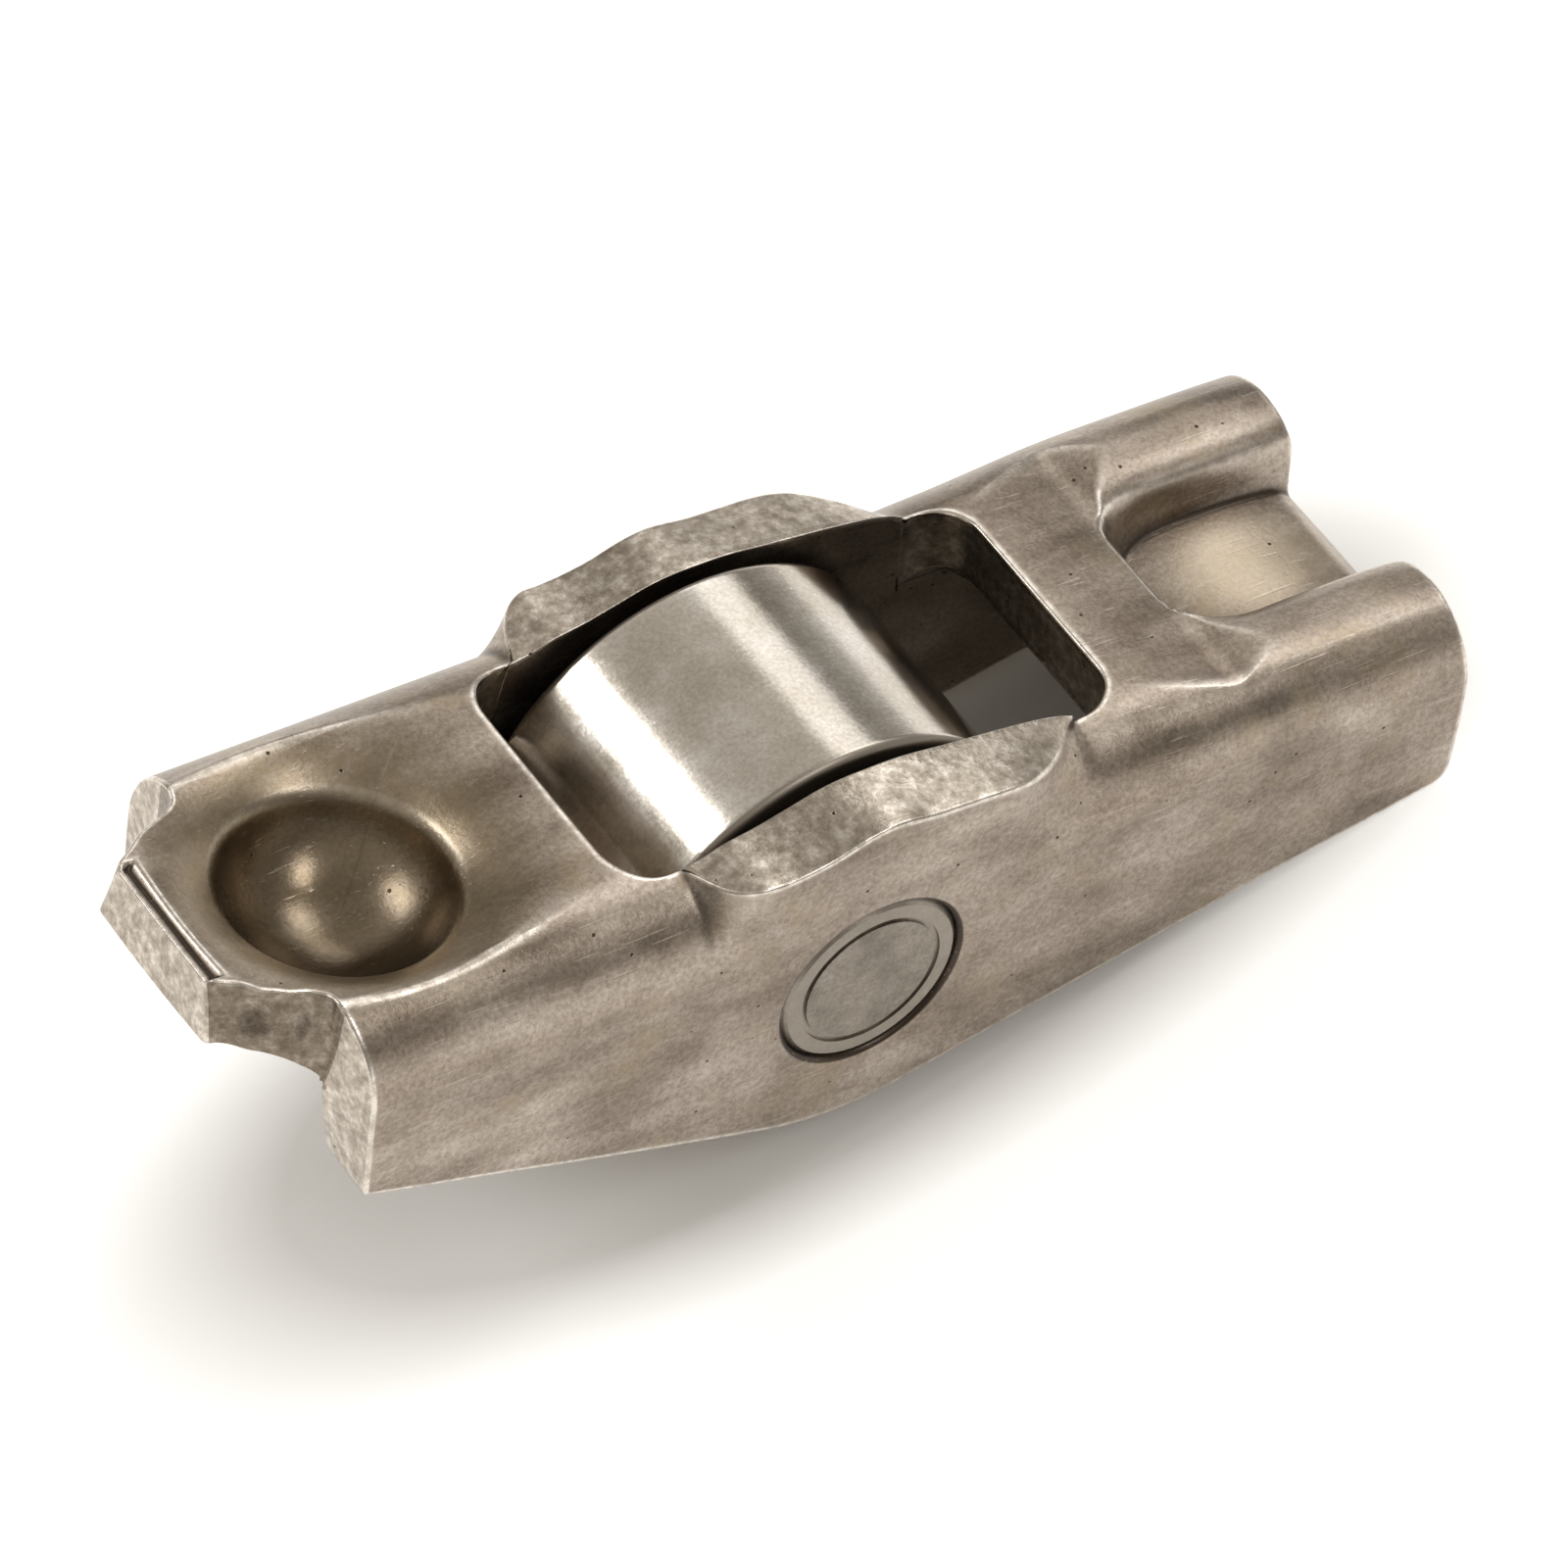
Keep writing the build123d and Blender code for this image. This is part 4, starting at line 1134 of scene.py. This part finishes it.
# %% [markdown]
# ## Camera
#
# The photograph was taken from far off with a long lens, so its perspective is slight. A camera
# set by eye would never lay every edge on its place, so this one comes from a fit of the measured
# points. Its axes were measured in the arm's own axes, so they are turned to the frame's like
# everything else.

# %% Camera
CAMERA_RIGHT = (0.826, -0.5453, 0.1428)
CAMERA_DOWN = (-0.3106, -0.6517, -0.692)
CAMERA_FORWARD = (0.4704, 0.5272, -0.7077)
PIN_FROM_CAMERA = (-1.27491, 1.57202, 400.0)  # right, down and forward, in millimetres
FOCAL_LENGTH = 270.0
SENSOR_WIDTH = 36.0

axes = np.array([CAMERA_RIGHT, CAMERA_DOWN, CAMERA_FORWARD])
camera_spot = -(axes.T @ np.array(PIN_FROM_CAMERA))
camera_data = bpy.data.cameras.new("camera")
camera_data.lens = FOCAL_LENGTH
camera_data.sensor_width = SENSOR_WIDTH
camera_data.clip_start = 0.01
camera_data.clip_end = 20.0
camera = bpy.data.objects.new("camera", camera_data)
bpy.context.scene.collection.objects.link(camera)
right, down, forward = turned(axes)
placing = Matrix.Identity(4)
placing.col[0][:3] = right
placing.col[1][:3] = -down
placing.col[2][:3] = -forward
placing.col[3][:3] = to_frame(camera_spot)
camera.matrix_world = placing
bpy.context.scene.camera = camera
print("camera at", to_frame(camera_spot).round(3))

# %% [markdown]
# ## Floor
#
# The part lies on white paper. More lamp light would whiten the paper, but bleach the steel with
# it. So the paper glows a little for the camera and in the metal's mirror, as a light table does,
# except where the part stands, so the shadow at its foot stays.

# %% Floor
FLOOR_HALF = 3.0
FOOTPRINT = (0.022, 0.0085)         # half-axes of the ellipse under the part, in metres

mesh = bpy.data.meshes.new("floor")
mesh.from_pydata([(FLOOR_HALF * x, FLOOR_HALF * y, 0)
                  for x, y in ((-1, -1), (1, -1), (1, 1), (-1, 1))], [], [(0, 1, 2, 3)])
plane = bpy.data.objects.new("floor", mesh)
bpy.context.scene.collection.objects.link(plane)
material, tree, shader = new_material("white_paper")
shader.inputs["Base Color"].default_value = linear("#f4f3f1")
shader.inputs["Roughness"].default_value = 0.9
shader.inputs["Emission Color"].default_value = (1, 1, 1, 1)
spot = add(tree, "ShaderNodeTexCoord").outputs["Object"]
spot = add(tree, "ShaderNodeMapping",
           {"Vector": spot, "Scale": (1 / FOOTPRINT[0], 1 / FOOTPRINT[1], 0)})
reach = add(tree, "ShaderNodeVectorMath", {0: spot}, operation="LENGTH").outputs["Value"]
glow = add(tree, "ShaderNodeMapRange", {0: reach, 1: 0.95, 2: 1.35, 3: 0.0, 4: 0.5})
path = add(tree, "ShaderNodeLightPath")
seen = add(tree, "ShaderNodeMath",
           {0: path.outputs["Is Camera Ray"], 1: path.outputs["Is Glossy Ray"]},
           operation="MAXIMUM")
lit = add(tree, "ShaderNodeMath", {0: glow, 1: seen}, operation="MULTIPLY")
tree.links.new(lit.outputs[0], shader.inputs["Emission Strength"])
mesh.materials.append(material)
print("floor:", 2 * FLOOR_HALF, "m wide")

# %% [markdown]
# ## Light
#
# Polished metal shows its surroundings more than its own colour, so the light is planned by what
# each face mirrors. Point lamps would give it hard dots. The roller mirrors soft panels as white
# stripes, and a dim room between them. The ball socket mirrors the panel in front and the one at
# the back. The walls mirror the floor.

# %% Soft panels
PANEL_DISTANCE = 0.9


def panel(name, toward, along, size, radiance):
    """A rectangular soft light that faces the part, seen from it along toward, with its first side
    along the second direction. Its power is radiance x pi x area, so radiance is its brightness."""
    light = bpy.data.lights.new(name, "AREA")
    light.shape = "RECTANGLE"
    light.size, light.size_y = size
    light.energy = radiance * math.pi * size[0] * size[1]
    lamp = bpy.data.objects.new(name, light)
    bpy.context.scene.collection.objects.link(lamp)
    away = Vector(toward).normalized()
    side = Vector(along)
    side = (side - away * side.dot(away)).normalized()
    turn = Matrix((side, away.cross(side), away)).transposed().to_4x4()
    lamp.matrix_world = Matrix.Translation(away * PANEL_DISTANCE) @ turn
    print(name, round(light.energy, 2), "W")


panel("front softbox", (0.40, -0.60, 0.70), (0.52, 0.85, 0), (0.34, 0.19), 5.6)
panel("back left softbox", (-0.47, 0.47, 0.745), (0.8, 0, 0.6), (0.24, 0.5), 4.8)
panel("back right strip", (0.66, 0.53, 0.54), (0.63, 0, -0.77), (0.28, 0.65), 1.25)
panel("right softbox", (0.74, 0.02, 0.67), (0.67, 0, -0.74), (0.32, 0.32), 3.0)

# %% [markdown]
# ## Room
#
# Between the panels the steel mirrors the room. One even grey would make it look like clay, so the
# room is bright at the floor's height, darkest about 20 degrees above the horizon, bright again at
# 45 and a little darker overhead. The ramp goes by the height of the direction: 0 is straight
# down, 0.5 the horizon and 1 straight up.

# %% Room and view
world = bpy.data.worlds.new("studio")
bpy.context.scene.world = world
world.use_nodes = True
sky = world.node_tree
direction = add(sky, "ShaderNodeTexCoord").outputs["Generated"]
parts = add(sky, "ShaderNodeSeparateXYZ", {0: direction})
height = add(sky, "ShaderNodeMapRange", {0: parts.outputs["Z"], 1: -1.0, 2: 1.0, 3: 0.0, 4: 1.0})
room = add(sky, "ShaderNodeValToRGB", {0: height},
           stops=[(0.48, "#f4f1ec"), (1.0, "#bab5ad"), (0.56, "#b9b5ae"), (0.66, "#8d8880"),
                  (0.76, "#b9b4ac"), (0.86, "#e0dbd2")])
back = sky.nodes["Background"]
sky.links.new(room.outputs[0], back.inputs["Color"])
back.inputs["Strength"].default_value = 0.95

bpy.context.scene.view_settings.view_transform = "Standard"
print("room:", len(sky.nodes), "nodes")
